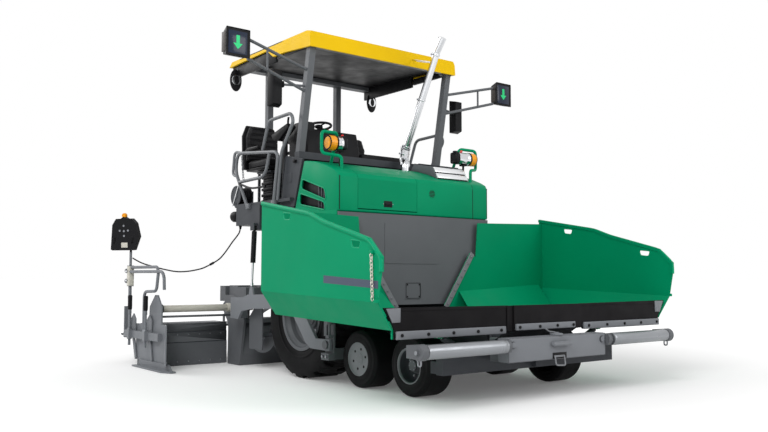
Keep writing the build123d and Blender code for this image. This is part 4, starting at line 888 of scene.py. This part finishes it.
# roof: dark liner and skirts under the shell, post heads and cross ribs
roof = {
    "half": 0.868, "liner": [(-1.300, 3.104), (-1.100, 3.144), (-0.340, 3.144), (0.190, 3.050)],
    "skirts": [((-1.290, -0.420), (2.965, 3.110)), ((-0.400, 0.185), (2.985, 3.050))], "skirtOut": (0.842, 0.8685),
    "ribs": [(-0.95, 3.143), (-0.60, 3.143), (-0.25, 3.128)],
}
onChassis(sidePrism(roof["liner"], (-roof["half"], roof["half"])), "roofLiner", blackPaint)
for sideName, side in sides.items():
    for index, (x, z) in enumerate(roof["skirts"]):
        skirt = addSidePanel(side, x, roof["skirtOut"], z, 0.004)
        onChassis(skirt, f"roofSkirt_{index}_{sideName}", blackPaint)
    clamp = addSidePanel(side, (0.070, 0.215), (0.800, 0.868), (2.990, 3.052), 0.006)
    onChassis(clamp, f"postHead_{sideName}", greyPaint)
for x, top in roof["ribs"]:
    rib = addPanel((x - 0.022, -0.866, top - 0.034), (x + 0.022, 0.866, top), 0.005)
    onChassis(rib, f"roofRib_{round(-x * 100)}", framePaint)
print("roof lined")

# exhaust: bands along the bright pipe, its dark mouth and the elbow
pipe = {
    "foot": (0.112, 0.300, 2.100), "head": (0.620, 0.300, 3.080),
    # share of the length, width and radius of each band
    "bands": [(0.010, 0.020, 0.050), (0.060, 0.018, 0.0405), (0.085, 0.010, 0.0385), (0.520, 0.014, 0.0375),
              (0.930, 0.020, 0.0395)],
    "elbow": [(0.200, 0.240, 1.872), (0.200, 0.240, 2.010), (0.110, 0.300, 2.030), (0.130, 0.300, 2.150)],
}
pipeFoot, pipeHead = Vector(pipe["foot"]), Vector(pipe["head"])
pipeWay = (pipeHead - pipeFoot).normalized()
for index, (share, width, radius) in enumerate(pipe["bands"]):
    start = pipeFoot.lerp(pipeHead, share)
    band = bevelEdges(addRod(start, start + pipeWay * width, radius, 40), 0.0025, 2)
    onChassis(band, f"pipeBand_{index}", chrome if index != 1 else wornSteel)
    ear = addPanel(start + Vector((-0.006, -radius - 0.020, -0.002)), start + Vector((0.010, -radius + 0.004, 0.014)),
                   0.002)
    onChassis(ear, f"pipeBandEar_{index}", wornSteel)
mouth = addRod(pipeHead + pipeWay * 0.094, pipeHead + pipeWay * 0.0985, 0.0285, 40)
insetFaces(mouth, lambda face: face.normal.dot(pipeWay) > 0.9, 0.003, -0.002)
onChassis(mouth, "pipeMouth", blackPaint)
onChassis(addTube(pipe["elbow"], 0.0475, 0.055, 8), "pipeElbow", chrome)
print("exhaust dressed")

# cooler housing: dark back with two bright slats, top plate and fins
cooler = {
    "foot": (0.600, 1.822), "head": (0.530, 1.950), "y": (0.300, 0.700),
    "outline": [(0.190, 1.934), (0.262, 2.000), (0.530, 1.950), (0.600, 1.822), (0.470, 1.872), (0.300, 1.920)],
}
slopeX, slopeZ = cooler["head"][0] - cooler["foot"][0], cooler["head"][1] - cooler["foot"][1]
slopeLength = math.hypot(slopeX, slopeZ)
outX, outZ = slopeZ / slopeLength, -slopeX / slopeLength


def onSlope(share, lift):
    return cooler["foot"][0] + slopeX * share + outX * lift, cooler["foot"][1] + slopeZ * share + outZ * lift


def slopeBar(name, low, high, lift, y, material, bevel=0.002):
    corners = [onSlope(low, -0.003), onSlope(low, lift), onSlope(high, lift), onSlope(high, -0.003)]
    return onChassis(bevelEdges(sidePrism(corners, y), bevel, 2), name, material)


housing = bevelEdges(sidePrism(cooler["outline"], cooler["y"]), 0.006, 2)
onChassis(housing, "coolerHousing", greyPaint)
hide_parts("cooler_box")
slopeBar("coolerBack", 0.02, 0.985, 0.0015, (0.310, 0.699), blackPaint, 0.0004)
slopeBar("coolerSlat_low", 0.07, 0.43, 0.0115, (0.304, 0.7015), brightAluminium)
slopeBar("coolerSlat_high", 0.53, 0.91, 0.0115, (0.304, 0.7015), brightAluminium)
for index, share in enumerate((0.475, 0.965)):
    slopeBar(f"coolerGap_{index}", share - 0.018, share + 0.018, 0.003, (0.308, 0.700), framePaint, 0.001)
topPlate = sidePrism([(0.262, 2.0015), (0.530, 1.9515), (0.530, 1.9545), (0.262, 2.0045)], (0.304, 0.698))
onChassis(topPlate, "coolerTop", blackPaint)
fins = [addBox((0.290 + i * 0.024, 0.330, 1.990 - i * 0.00448), (0.302 + i * 0.024, 0.672, 2.004 - i * 0.00448))
        for i in range(9)]
onChassis(joinPieces(fins), "coolerFins", framePaint)
print("cooler dressed")

# seats: pads inflated as cloth, a shell behind, sprung foot and arm rests
seat = {"places": {"right": -0.605, "left": 0.545}, "cushion": ((-1.070, -0.205, 1.994), (-0.648, 0.205, 2.066)),
        "pressure": 4, "cap": 0.012, "voxel": 0.007}


def inflatePad(piece, channels):
    # voxel skin, cloth under pressure with each point's travel capped, then the sewn channels
    makeActive(piece)
    piece.data.remesh_voxel_size = seat["voxel"]
    bpy.ops.object.voxel_remesh()
    rest = [vertex.co.copy() for vertex in piece.data.vertices]
    cloth = piece.modifiers.new("Cloth", "CLOTH")
    cloth.settings.use_pressure = True
    cloth.settings.uniform_pressure_force = seat["pressure"]
    cloth.settings.effector_weights.gravity = 0
    cloth.settings.quality = 5
    cloth.collision_settings.use_collision = False
    for step in range(1, 21):
        bpy.context.scene.frame_set(step)
    swollen = piece.evaluated_get(bpy.context.evaluated_depsgraph_get()).data
    moved = [vertex.co.copy() for vertex in swollen.vertices]
    piece.modifiers.remove(cloth)
    for vertex, start, end in zip(piece.data.vertices, rest, moved):
        travel = end - start
        if travel.length > seat["cap"]:
            travel = travel * (seat["cap"] / travel.length)
        vertex.co = start + travel
    bpy.context.scene.frame_set(1)
    for vertex in piece.data.vertices:
        for along, across, depth, direction in channels:
            distance = Vector(along).dot(vertex.co) - across
            facing = max(0.0, vertex.normal.dot(Vector(direction)))
            vertex.co -= Vector(direction) * depth * facing * math.exp(-(distance / 0.006) ** 2)
    return applyModifier(piece, "SUBSURF", levels=1, render_levels=1)


cushionLow, cushionHigh = seat["cushion"]
cushion = addPanel(cushionLow, cushionHigh, 0.020, 3)
inflatePad(cushion, [((0, 1, 0), -0.105, 0.007, (0, 0, 1)), ((0, 1, 0), 0.105, 0.007, (0, 0, 1)),
                     ((1, 0, 0), -0.750, 0.005, (0, 0, 1)), ((1, 0, 0), -0.930, 0.005, (0, 0, 1))])
lean = Vector((0.9986, 0, 0.05)).normalized()
upward = Vector((-0.05, 0, 0.9986)).normalized()
backFoot = Vector((-1.098, 0, 2.074))
back = bevelEdges(addOutline([backFoot + Vector((0, y, 0)) + upward * h for y, h in (
    (-0.195, 0.000), (-0.195, 0.270), (-0.150, 0.385), (0.150, 0.385), (0.195, 0.270), (0.195, 0.000))],
                             -lean * 0.050), 0.014, 3)
inflatePad(back, [(upward, upward.dot(backFoot) + h, 0.007, lean) for h in (0.055, 0.115, 0.175, 0.235, 0.295)])
for sideName, placeY in seat["places"].items():
    offset = Vector((0, placeY, 0))
    for piece, name in ((cushion, "seatCushion"), (back, "seatBack")):
        pad = finishPiece(copyPiece(piece, offset), f"{name}_{sideName}", "chassis", seatLeather, smooth=60)
    if sideName == "right":
        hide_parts("seats")
    pan = addPanel((-1.082, placeY - 0.208, 1.966), (-0.640, placeY + 0.208, 1.992), 0.008, 3)
    onChassis(pan, f"seatPan_{sideName}", blackPlastic)
    shellFoot = backFoot - lean * 0.060
    shell = bevelEdges(addOutline([shellFoot + offset + Vector((0, y, 0)) + upward * h for y, h in (
        (-0.208, -0.075), (-0.208, 0.280), (-0.160, 0.396), (0.160, 0.396), (0.208, 0.280), (0.208, -0.075))],
                                  -lean * 0.022), 0.007, 3)
    onChassis(shell, f"seatShell_{sideName}", blackPlastic)
    foot = addPanel((-0.955, placeY - 0.125, 1.620), (-0.705, placeY + 0.125, 1.640), 0.004)
    onChassis(foot, f"seatFoot_{sideName}", framePaint)
    bellows = [addPanel((-0.940 + i % 2 * 0.012, placeY - 0.112 + i % 2 * 0.012, 1.640 + i * 0.030),
                        (-0.720 - i % 2 * 0.012, placeY + 0.112 - i % 2 * 0.012, 1.670 + i * 0.030), 0.007, 2)
               for i in range(10)]
    onChassis(joinPieces(bellows), f"seatBellows_{sideName}", blackPlastic)
    plate = addPanel((-0.965, placeY - 0.150, 1.938), (-0.690, placeY + 0.150, 1.954), 0.004)
    onChassis(plate, f"seatPlate_{sideName}", framePaint)
    for armSide in (-1, 1):
        armY = placeY + armSide * 0.226
        rest = addTube([(-1.075, armY, 1.985), (-1.080, armY, 2.150), (-1.050, armY, 2.180), (-0.790, armY, 2.185)],
                       0.014, 0.03, 5)
        onChassis(rest, f"armRest_{'inner' if armSide > 0 else 'outer'}_{sideName}", blackPlastic)
        grip = addPanel((-1.010, armY - 0.022, 2.170), (-0.785, armY + 0.022, 2.202), 0.012, 3)
        onChassis(grip, f"armPad_{'inner' if armSide > 0 else 'outer'}_{sideName}", seatLeather)
for piece in (cushion, back):
    bpy.data.objects.remove(piece)
print("seats padded")

# driver's place: steering wheel, pedestal, side console, screen, dials, levers and knobs
console = {
    "wheelCentre": (-0.325, -0.430, 2.372), "wheelTilt": (-0.16, 0, 1), "wheelRadius": 0.122, "wheelGrip": 0.0122,
    "pedestal": [(-0.400, 1.620), (-0.400, 2.170), (-0.505, 2.215), (-0.490, 2.285), (-0.440, 2.312), (-0.130, 2.300),
                 (-0.080, 2.120), (-0.080, 1.620)],
    "pedestalY": (-0.725, -0.110),
    "sideBox": [(-0.512, 2.262), (-0.218, 2.332), (-0.190, 2.305), (-0.382, 2.190), (-0.483, 2.218)],
    "sideBoxY": (-0.860, -0.770), "spokes": (90, 210, 330), "dials": (-0.345, -0.270, -0.195),
    "levers": [(-0.420, -0.640), (-0.420, -0.590), (-0.420, -0.540), (-0.420, -0.300), (-0.420, -0.250)],
}
wheelTurn = Vector(console["wheelTilt"]).to_track_quat("Z", "Y")
clearSelection()
bpy.ops.mesh.primitive_torus_add(major_segments=56, minor_segments=14, major_radius=console["wheelRadius"],
                                 minor_radius=console["wheelGrip"],
                                 location=console["wheelCentre"], rotation=wheelTurn.to_euler())
onChassis(bpy.context.object, "steeringRim", blackPlastic)
pedestal = bevelEdges(sidePrism(console["pedestal"], console["pedestalY"]), 0.014, 3)
onChassis(pedestal, "consolePedestal", blackPlastic)
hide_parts("console")
sideBox = bevelEdges(sidePrism(console["sideBox"], console["sideBoxY"]), 0.008, 2)
onChassis(sideBox, "sideConsole", blackPlastic)
onChassis(addPanel((-0.340, -0.835, 1.620), (-0.300, -0.795, 2.250), 0.004), "sideConsoleStem", blackPlastic)
lowBox = addPanel((-0.330, -0.060, 1.620), (-0.100, 0.520, 2.110), 0.014, 3)
insetFaces(lowBox, lambda face: face.normal.x < -0.95 and face.area > 0.05, 0.030, -0.006)
onChassis(lowBox, "consoleLowBox", blackPlastic)
spokes = []
wheelPlane = Matrix.Translation(console["wheelCentre"]) @ wheelTurn.to_matrix().to_4x4()
for turn in console["spokes"]:
    way = Vector((math.cos(math.radians(turn)), math.sin(math.radians(turn)), 0))
    spokes.append(addRod(wheelPlane @ (way * 0.020), wheelPlane @ (way * 0.120), 0.0075, 16))
onChassis(joinPieces(spokes), "steeringSpokes", blackPlastic)
knobFoot = wheelPlane @ (way * 0.120)
knob = addTurned([(-0.004, 0.0070), (0.020, 0.0070), (0.024, 0.0150), (0.036, 0.0195), (0.048, 0.0170),
                  (0.054, 0.0001)], knobFoot, "Z", 1, 24)
onChassis(knob, "steeringKnob", blackPlastic)
hub = addTurned([(-0.016, 0.036), (-0.004, 0.040), (0.010, 0.036), (0.016, 0.022), (0.017, 0.0001)],
                console["wheelCentre"], "Z", 1, 32)
onChassis(hub, "steeringHub", blackPlastic)
boot = addTurned([(2.290, 0.055), (2.300, 0.050), (2.306, 0.040), (2.316, 0.042), (2.322, 0.034), (2.332, 0.036),
                  (2.338, 0.028), (2.350, 0.026)], (-0.312, -0.430, 0), "Z", 1, 28)
onChassis(boot, "steeringBoot", blackPlastic)
screenBox = addPanel((-0.306, -0.728, 2.246), (-0.124, -0.606, 2.364), 0.010, 3)
insetFaces(screenBox, lambda face: face.normal.x < -0.95 and face.area > 0.006, 0.012, -0.004)
onChassis(screenBox, "displayBox", blackPlastic)
onChassis(addPanel((-0.3045, -0.708, 2.266), (-0.3015, -0.626, 2.342), 0.001), "displayScreen", screenBlue)
for index, y in enumerate(console["dials"]):
    dial = addTurned([(2.3025, 0.0300), (2.3100, 0.0300), (2.3100, 0.0255), (2.3070, 0.0250), (2.3070, 0.0001)],
                     (-0.300, y, 0), "Z", 1, 28)
    onChassis(dial, f"dial_{index}", wornSteel)
    face = addTurned([(2.3072, 0.0245), (2.3078, 0.0240), (2.3078, 0.0001)], (-0.300, y, 0), "Z", 1, 28)
    onChassis(face, f"dialFace_{index}", blackPaint)
for index, (x, y) in enumerate(console["levers"]):
    lever = addRod((x, y, 2.295), (x - 0.010, y, 2.350), 0.0045, 12)
    knob = addTurned([(2.350, 0.0060), (2.354, 0.0110), (2.366, 0.0125), (2.376, 0.0095), (2.380, 0.0001)],
                     (x - 0.010, y, 0), "Z", 1, 20)
    onChassis(joinPieces([lever, knob]), f"lever_{index}", blackPlastic if index % 2 else redLens)
sideTop = sidePrism([(-0.508, 2.2645), (-0.220, 2.3345), (-0.222, 2.3385), (-0.510, 2.2685)], (-0.856, -0.774))
onChassis(sideTop, "sideConsoleTop", blackPlastic)
sideKnobs = [(-0.460 + i * 0.045, -0.833 + j * 0.036) for i in range(5) for j in range(2)]
knobs = [addTurned([(2.2700 + (x + 0.51) * 0.243, 0.0085), (2.2810 + (x + 0.51) * 0.243, 0.0075),
                    (2.2820 + (x + 0.51) * 0.243, 0.0001)], (x, y, 0), "Z", 1, 14) for x, y in sideKnobs]
onChassis(joinPieces(knobs), "sideConsoleKnobs", framePaint)
stick = addTube([(-0.270, -0.815, 2.315), (-0.272, -0.815, 2.375), (-0.262, -0.815, 2.410)], 0.010, 0.02, 4)
onChassis(stick, "driveLever", blackPlastic)
print("driver's place dressed")

# handrails: bent tubes with feet, the reel's plate and the upright behind the driver
railFeet = (-0.298, -0.782)  # places along the platform
rails = {
    "inner": (0.925, [(-0.264, 1.610), (-0.208, 2.050), (0.005, 2.318), (-0.040, 2.400), (-0.440, 2.388),
                      (-0.556, 2.108)], 0.016, 0.060),
    "outer": (0.950, [(-0.298, 1.560), (-0.215, 2.060), (-1.012, 2.138), (-1.050, 1.955), (-0.782, 1.560)], 0.016,
              0.085),
    "bow": (0.950, [(-0.888, 2.120), (-1.076, 2.162), (-1.108, 1.926), (-1.018, 1.904)], 0.014, 0.065),
    "knee": (0.950, [(-0.380, 2.072), (-0.452, 1.850), (-0.960, 1.840)], 0.016, 0.100),
}
for sideName, side in sides.items():
    for name, (y, points, radius, bend) in rails.items():
        rail = onChassis(addTube([(x, side * y, z) for x, z in points], radius, bend, 8), f"rail_{name}_{sideName}",
                         railPaint)
    feet = [addSidePanel(side, (x - 0.028, x + 0.028), (0.930, 0.962), (1.560, 1.610), 0.004) for x in railFeet]
    onChassis(joinPieces(feet), f"railFeet_{sideName}", railPaint)
    stays = [addSidePanel(side, (x - 0.020, x + 0.020), (0.889, 0.945), (1.566, 1.600), 0.004) for x in railFeet]
    onChassis(joinPieces(stays), f"railStays_{sideName}", framePaint)
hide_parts("handrails")
onChassis(addPanel((-1.085, -0.790, 1.590), (-0.980, -0.780, 1.760), 0.003), "reelPlate", framePaint)
onChassis(addPanel((-1.288, -0.562, 1.600), (-1.262, -0.538, 2.330), 0.003), "hornPost", framePaint)
print("handrails bent")

# platform: hanging chain, belt, side panel's knob, bare plate and edge line
addChain("railChain", "chassis", (-0.894, -0.968, 2.106), (-0.852, -0.968, 1.856), 0.0, 11, rimLight, 0.0095)
belt = addTube([(-0.944, -0.966, 1.822), (-0.700, -0.968, 1.752), (-0.424, -0.966, 1.752)], 0.010, 0.10, 6)
onChassis(belt, "railBelt", blackPlastic)
for sideName, side in sides.items():
    knob = addTurned([(0.889, 0.020), (0.893, 0.020), (0.895, 0.012), (0.903, 0.012), (0.906, 0.017), (0.914, 0.016),
                      (0.916, 0.0001)], (-0.009, 0, 1.952), "Y", side, 24)
    onChassis(knob, f"panelKnob_{sideName}", blackPlastic)
    onChassis(addSidePanel(side, (-0.156, -0.072), (0.889, 0.8915), (1.762, 1.852), 0.001), f"panelPlate_{sideName}",
              framePaint)
    edge = addTube([(-0.258, side * 0.8895, 1.634), (-0.194, side * 0.8895, 2.018), (0.102, side * 0.8895, 1.958),
                    (-0.024, side * 0.8895, 1.552)], 0.0038, 0.03, 5)
    onChassis(edge, f"panelEdge_{sideName}", framePaint)
print("platform dressed")

# extensions: cream tube, sleeve and collar, face bolts and bands, walkway, spindle grips, clamp
extensionTrim = {
    "tubeX": {"right": -1.376, "left": -1.466}, "tubeHeight": 0.578, "tubeRadius": 0.035,
    "boltFrom": 0.860, "boltPitch": 0.120, "boltCount": 6, "span": (0.800, 1.608),
    "cleatFrom": -2.300, "cleatPitch": 0.056, "cleatCount": 8,
    "spindles": (-1.890, -1.480), "spindleOut": 1.687, "screws": (0.855, 0.950), "screwX": -1.980,
}
for sideName, side in sides.items():
    body = f"extension_{sideName}"
    trim = extensionTrim
    tubePlace = (trim["tubeX"][sideName], 0, trim["tubeHeight"])
    sleeve = addTurned([(0.800, 0.0355), (0.800, 0.0440), (0.812, 0.0460), (0.848, 0.0460), (0.860, 0.0440),
                        (0.860, 0.0355)], tubePlace, "Y", side, 36)
    finishPiece(sleeve, f"tubeSleeve_{sideName}", body, creamPaint)
    # the solid again, with its telescopic tube painted cream
    skin = finishPiece(copyNode(body), f"extensionBody_{sideName}", body, greyPaint)
    skin.data.materials.append(creamPaint)
    for face in skin.data.polygons:
        if math.hypot(face.center.x - tubePlace[0], face.center.z - tubePlace[2]) < trim["tubeRadius"] + 0.0005:
            face.material_index = 1
    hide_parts(body)
    collar = addTurned([(1.560, 0.0362), (1.560, 0.0450), (1.596, 0.0450), (1.596, 0.0362)], tubePlace, "Y", side, 36)
    finishPiece(collar, f"tubeCollar_{sideName}", body, framePaint)
    for row, x, z, radius, height in (("Low", -1.489, 0.040, 0.0090, 0.006), ("High", -1.4960, 0.310, 0.0075, 0.005)):
        places = [(x, side * (trim["boltFrom"] + i * trim["boltPitch"]), z) for i in range(trim["boltCount"])]
        addBolts(f"faceBolts{row}_{sideName}", body, places, (1, 0, 0), radius, height, wornSteel, 6)
    # two bands along the face and the bright edge strip of the walkway
    for strip, x, z, material in (("faceBand", (-1.4955, -1.4885), (0.228, 0.236), framePaint),
                                  ("faceLip", (-1.5015, -1.4945), (0.332, 0.340), framePaint),
                                  ("walkEdge", (-2.347, -2.338), (0.286, 0.2945), wornSteel)):
        finishPiece(addSidePanel(side, x, trim["span"], z, 0.002), f"{strip}_{sideName}", body, material)
    cleats = []
    for index in range(trim["cleatCount"]):
        x = trim["cleatFrom"] + index * trim["cleatPitch"]
        cleats.append(addSidePanel(side, (x, x + 0.016), (0.830, 1.578), (0.2915, 0.2950), 0.0012))
    finishPiece(joinPieces(cleats), f"walkCleats_{sideName}", body, framePaint)
    # spindle grips on the end plate
    for index, x in enumerate(trim["spindles"]):
        spindleY = side * trim["spindleOut"]
        grip = addTurned([(0.560, 0.0185), (0.566, 0.0215), (0.600, 0.0225), (0.650, 0.0215), (0.692, 0.0225),
                          (0.706, 0.0190), (0.7065, 0.0001)], (x, spindleY, 0), "Z", 1, 28)
        finishPiece(grip, f"spindleGrip_{index}_{sideName}", body, blackPlastic)
        nut = bevelEdges(addRod((x, spindleY, 0.352), (x, spindleY, 0.376), 0.0250, 6), 0.003, 2)
        finishPiece(nut, f"spindleNut_{index}_{sideName}", body, wornSteel)
    # wing screws through the clamp
    for index, z in enumerate(trim["screws"]):
        screw = addRod((trim["screwX"], side * 1.678, z), (trim["screwX"], side * 1.702, z), 0.0080, 16)
        head = addSidePanel(side, (-2.004, -1.956), (1.698, 1.706), (z - 0.008, z + 0.008), 0.003)
        finishPiece(joinPieces([screw, head]), f"wingScrew_{index}_{sideName}", body, chrome)
    clampPlate = addSidePanel(side, (-2.012, -1.948), (1.628, 1.682), (0.800, 1.004), 0.006)
    finishPiece(clampPlate, f"clampSkin_{sideName}", body, creamPaint)
    # front flange of the end plate: bolt heads round its window
    places = [(-1.132 + i * 0.052, side * (1.6215 + i * 0.0192), z) for i in range(3) for z in (0.090, 0.400)]
    addBolts(f"flangeBolts_{sideName}", body, places, (0.36, 0.93 * side, 0), 0.0085, 0.010, wornSteel, 6)
print("extensions dressed")

# remote consoles: capped knob, five buttons and the bracket
remote = {
    "place": (-2.010, 1.690, 1.330), "cap": (0, 0.200), "bracket": (0, -0.105),
    "buttons": ((0.0, 0.095), (-0.050, 0.045), (0.0, 0.040), (0.050, 0.045), (0.0, -0.010)),
}


def ontoRemote(piece, side, u, v):
    # from a flat face at the origin onto the leaning face of one console
    x, y, z = remote["place"]
    out = Vector((0.55, 0.83 * side, -0.10)).normalized()
    across = Vector((-0.83 * side, 0.55, 0)).normalized()
    rise = out.cross(across).normalized()
    turn = Matrix((across, rise, out)).transposed().to_4x4()
    piece.data.transform(Matrix.Translation(Vector((x, side * y, z)) + across * u + rise * v) @ turn)
    return piece


for sideName, side in sides.items():
    body = f"extension_{sideName}"
    cap = addTurned([(0.018, 0.0001), (0.018, 0.0255), (0.040, 0.0260), (0.046, 0.0235), (0.048, 0.0001)], (0, 0, 0),
                    "Z", 1, 28)
    finishPiece(ontoRemote(cap, side, *remote["cap"]), f"remoteKnob_{sideName}", body, amberLens)
    buttons = []
    for place in remote["buttons"]:
        button = addTurned([(0.049, 0.0001), (0.049, 0.0120), (0.055, 0.0110), (0.057, 0.0001)], (0, 0, 0), "Z", 1,
                           16)
        buttons.append(ontoRemote(button, side, *place))
    finishPiece(joinPieces(buttons), f"remoteButtons_{sideName}", body, wornSteel)
    plate = addPanel((-0.038, -0.026, 0.0495), (0.038, 0.026, 0.0545), 0.002, 2)
    finishPiece(ontoRemote(plate, side, *remote["bracket"]), f"remoteBracket_{sideName}", body, creamPaint)
print("remote consoles dressed")

# tow foot bolts and the cable's gland
for sideName, side in sides.items():
    places = [(x, side * 0.985, 0.234) for x in (0.600, 0.655)]
    addBolts(f"towFootBolts_{sideName}", "chassis", places, (0, side, 0), 0.0135, 0.014, wornSteel, 6)
gland = addTurned([(0.000, 0.0075), (0.000, 0.0150), (-0.014, 0.0150), (-0.018, 0.0120), (-0.034, 0.0100),
                   (-0.034, 0.0073)], (-1.018, -0.905, 1.408), "Z", 1, 24)
onChassis(gland, "cableGland", blackPlastic)
print("arms dressed")

# floor, backdrop and lights; the floor's glow is lower near the machine, a painted shade round it
studio = {"floorColour": 0.93, "glowNear": 0.10, "glowFar": 0.56, "glowFrom": 2.0, "glowTo": 8.0,
          "skyCamera": 1.0, "skyLight": 0.50}
floorMaterial, floorTree, floorLinks, floorShader = newMaterial("paleFloor")
setInputs(floorShader, {"Base Color": (studio["floorColour"],) * 3 + (1,), "Roughness": 0.8,
                        "Specular IOR Level": 0.0, "Emission Color": (1, 1, 1, 1)})
floorPath = newNode(floorTree, "LightPath")
floorSeen = newNode(floorTree, "Math", operation="MAXIMUM")
floorPlace = newNode(floorTree, "TexCoord")
floorAway = newNode(floorTree, "VectorMath", operation="LENGTH")
# the glow for camera and glossy rays is low near the middle and rises outwards: painted shade on the floor round the
# machine
paintedFloorShade = newNode(floorTree, "MapRange", {"From Min": studio["glowFrom"], "From Max": studio["glowTo"],
                                            "To Min": studio["glowNear"], "To Max": studio["glowFar"]},
                    interpolation_type="SMOOTHSTEP")
floorGlow = newNode(floorTree, "Math", operation="MULTIPLY")
for source, target in ((floorPlace.outputs["Object"], floorAway.inputs[0]),
                       (floorAway.outputs["Value"], paintedFloorShade.inputs["Value"]),
                       (floorPath.outputs["Is Camera Ray"], floorSeen.inputs[0]),
                       (floorPath.outputs["Is Glossy Ray"], floorSeen.inputs[1]),
                       (floorSeen.outputs[0], floorGlow.inputs[0]),
                       (paintedFloorShade.outputs["Result"], floorGlow.inputs[1]),
                       (floorGlow.outputs[0], floorShader.inputs["Emission Strength"])):
    floorLinks.new(source, target)
bpy.ops.object.select_all(action="DESELECT")
bpy.ops.mesh.primitive_plane_add(size=400, location=(0, 0, -0.002))
floor = bpy.context.object
floor.name = "paleFloor"
floor.data.materials.append(floorMaterial)

world = bpy.context.scene.world or bpy.data.worlds.new("studio")
bpy.context.scene.world = world
world.use_nodes = True
worldTree, worldLinks = world.node_tree.nodes, world.node_tree.links
background = worldTree["Background"]
path = newNode(worldTree, "LightPath")
seen = newNode(worldTree, "Math", operation="MAXIMUM")
seenThrough = newNode(worldTree, "Math", operation="MAXIMUM")
strength = newNode(worldTree, "MapRange", {"To Min": studio["skyLight"], "To Max": studio["skyCamera"]})
setInputs(background, {"Color": (1, 1, 1, 1)})
for source, target in ((path.outputs["Is Camera Ray"], seen.inputs[0]),
                       (path.outputs["Is Glossy Ray"], seen.inputs[1]), (seen.outputs[0], seenThrough.inputs[0]),
                       (path.outputs["Is Transmission Ray"], seenThrough.inputs[1]),
                       (seenThrough.outputs[0], strength.inputs["Value"]),
                       (strength.outputs["Result"], background.inputs["Strength"])):
    worldLinks.new(source, target)

lamps = {
    "keyLamp": {"place": (5.0, -7.5, 7.0), "aim": (0.4, -0.2, 1.2), "size": 5.0, "power": 520},
    "fillLamp": {"place": (8.5, 3.5, 5.0), "aim": (0.8, 0.2, 1.0), "size": 5.0, "power": 230},
    "backLamp": {"place": (-6.5, -4.0, 5.5), "aim": (-1.0, 0, 1.2), "size": 4.0, "power": 200},
}
for lampName, lamp in lamps.items():
    bpy.ops.object.light_add(type="AREA", location=lamp["place"])
    light = bpy.context.object
    light.name = lampName
    light.data.size = lamp["size"]
    light.data.energy = lamp["power"]
    light.rotation_euler = (Vector(lamp["aim"]) - Vector(lamp["place"])).to_track_quat("-Z", "Y").to_euler()
print("floor and lights set")
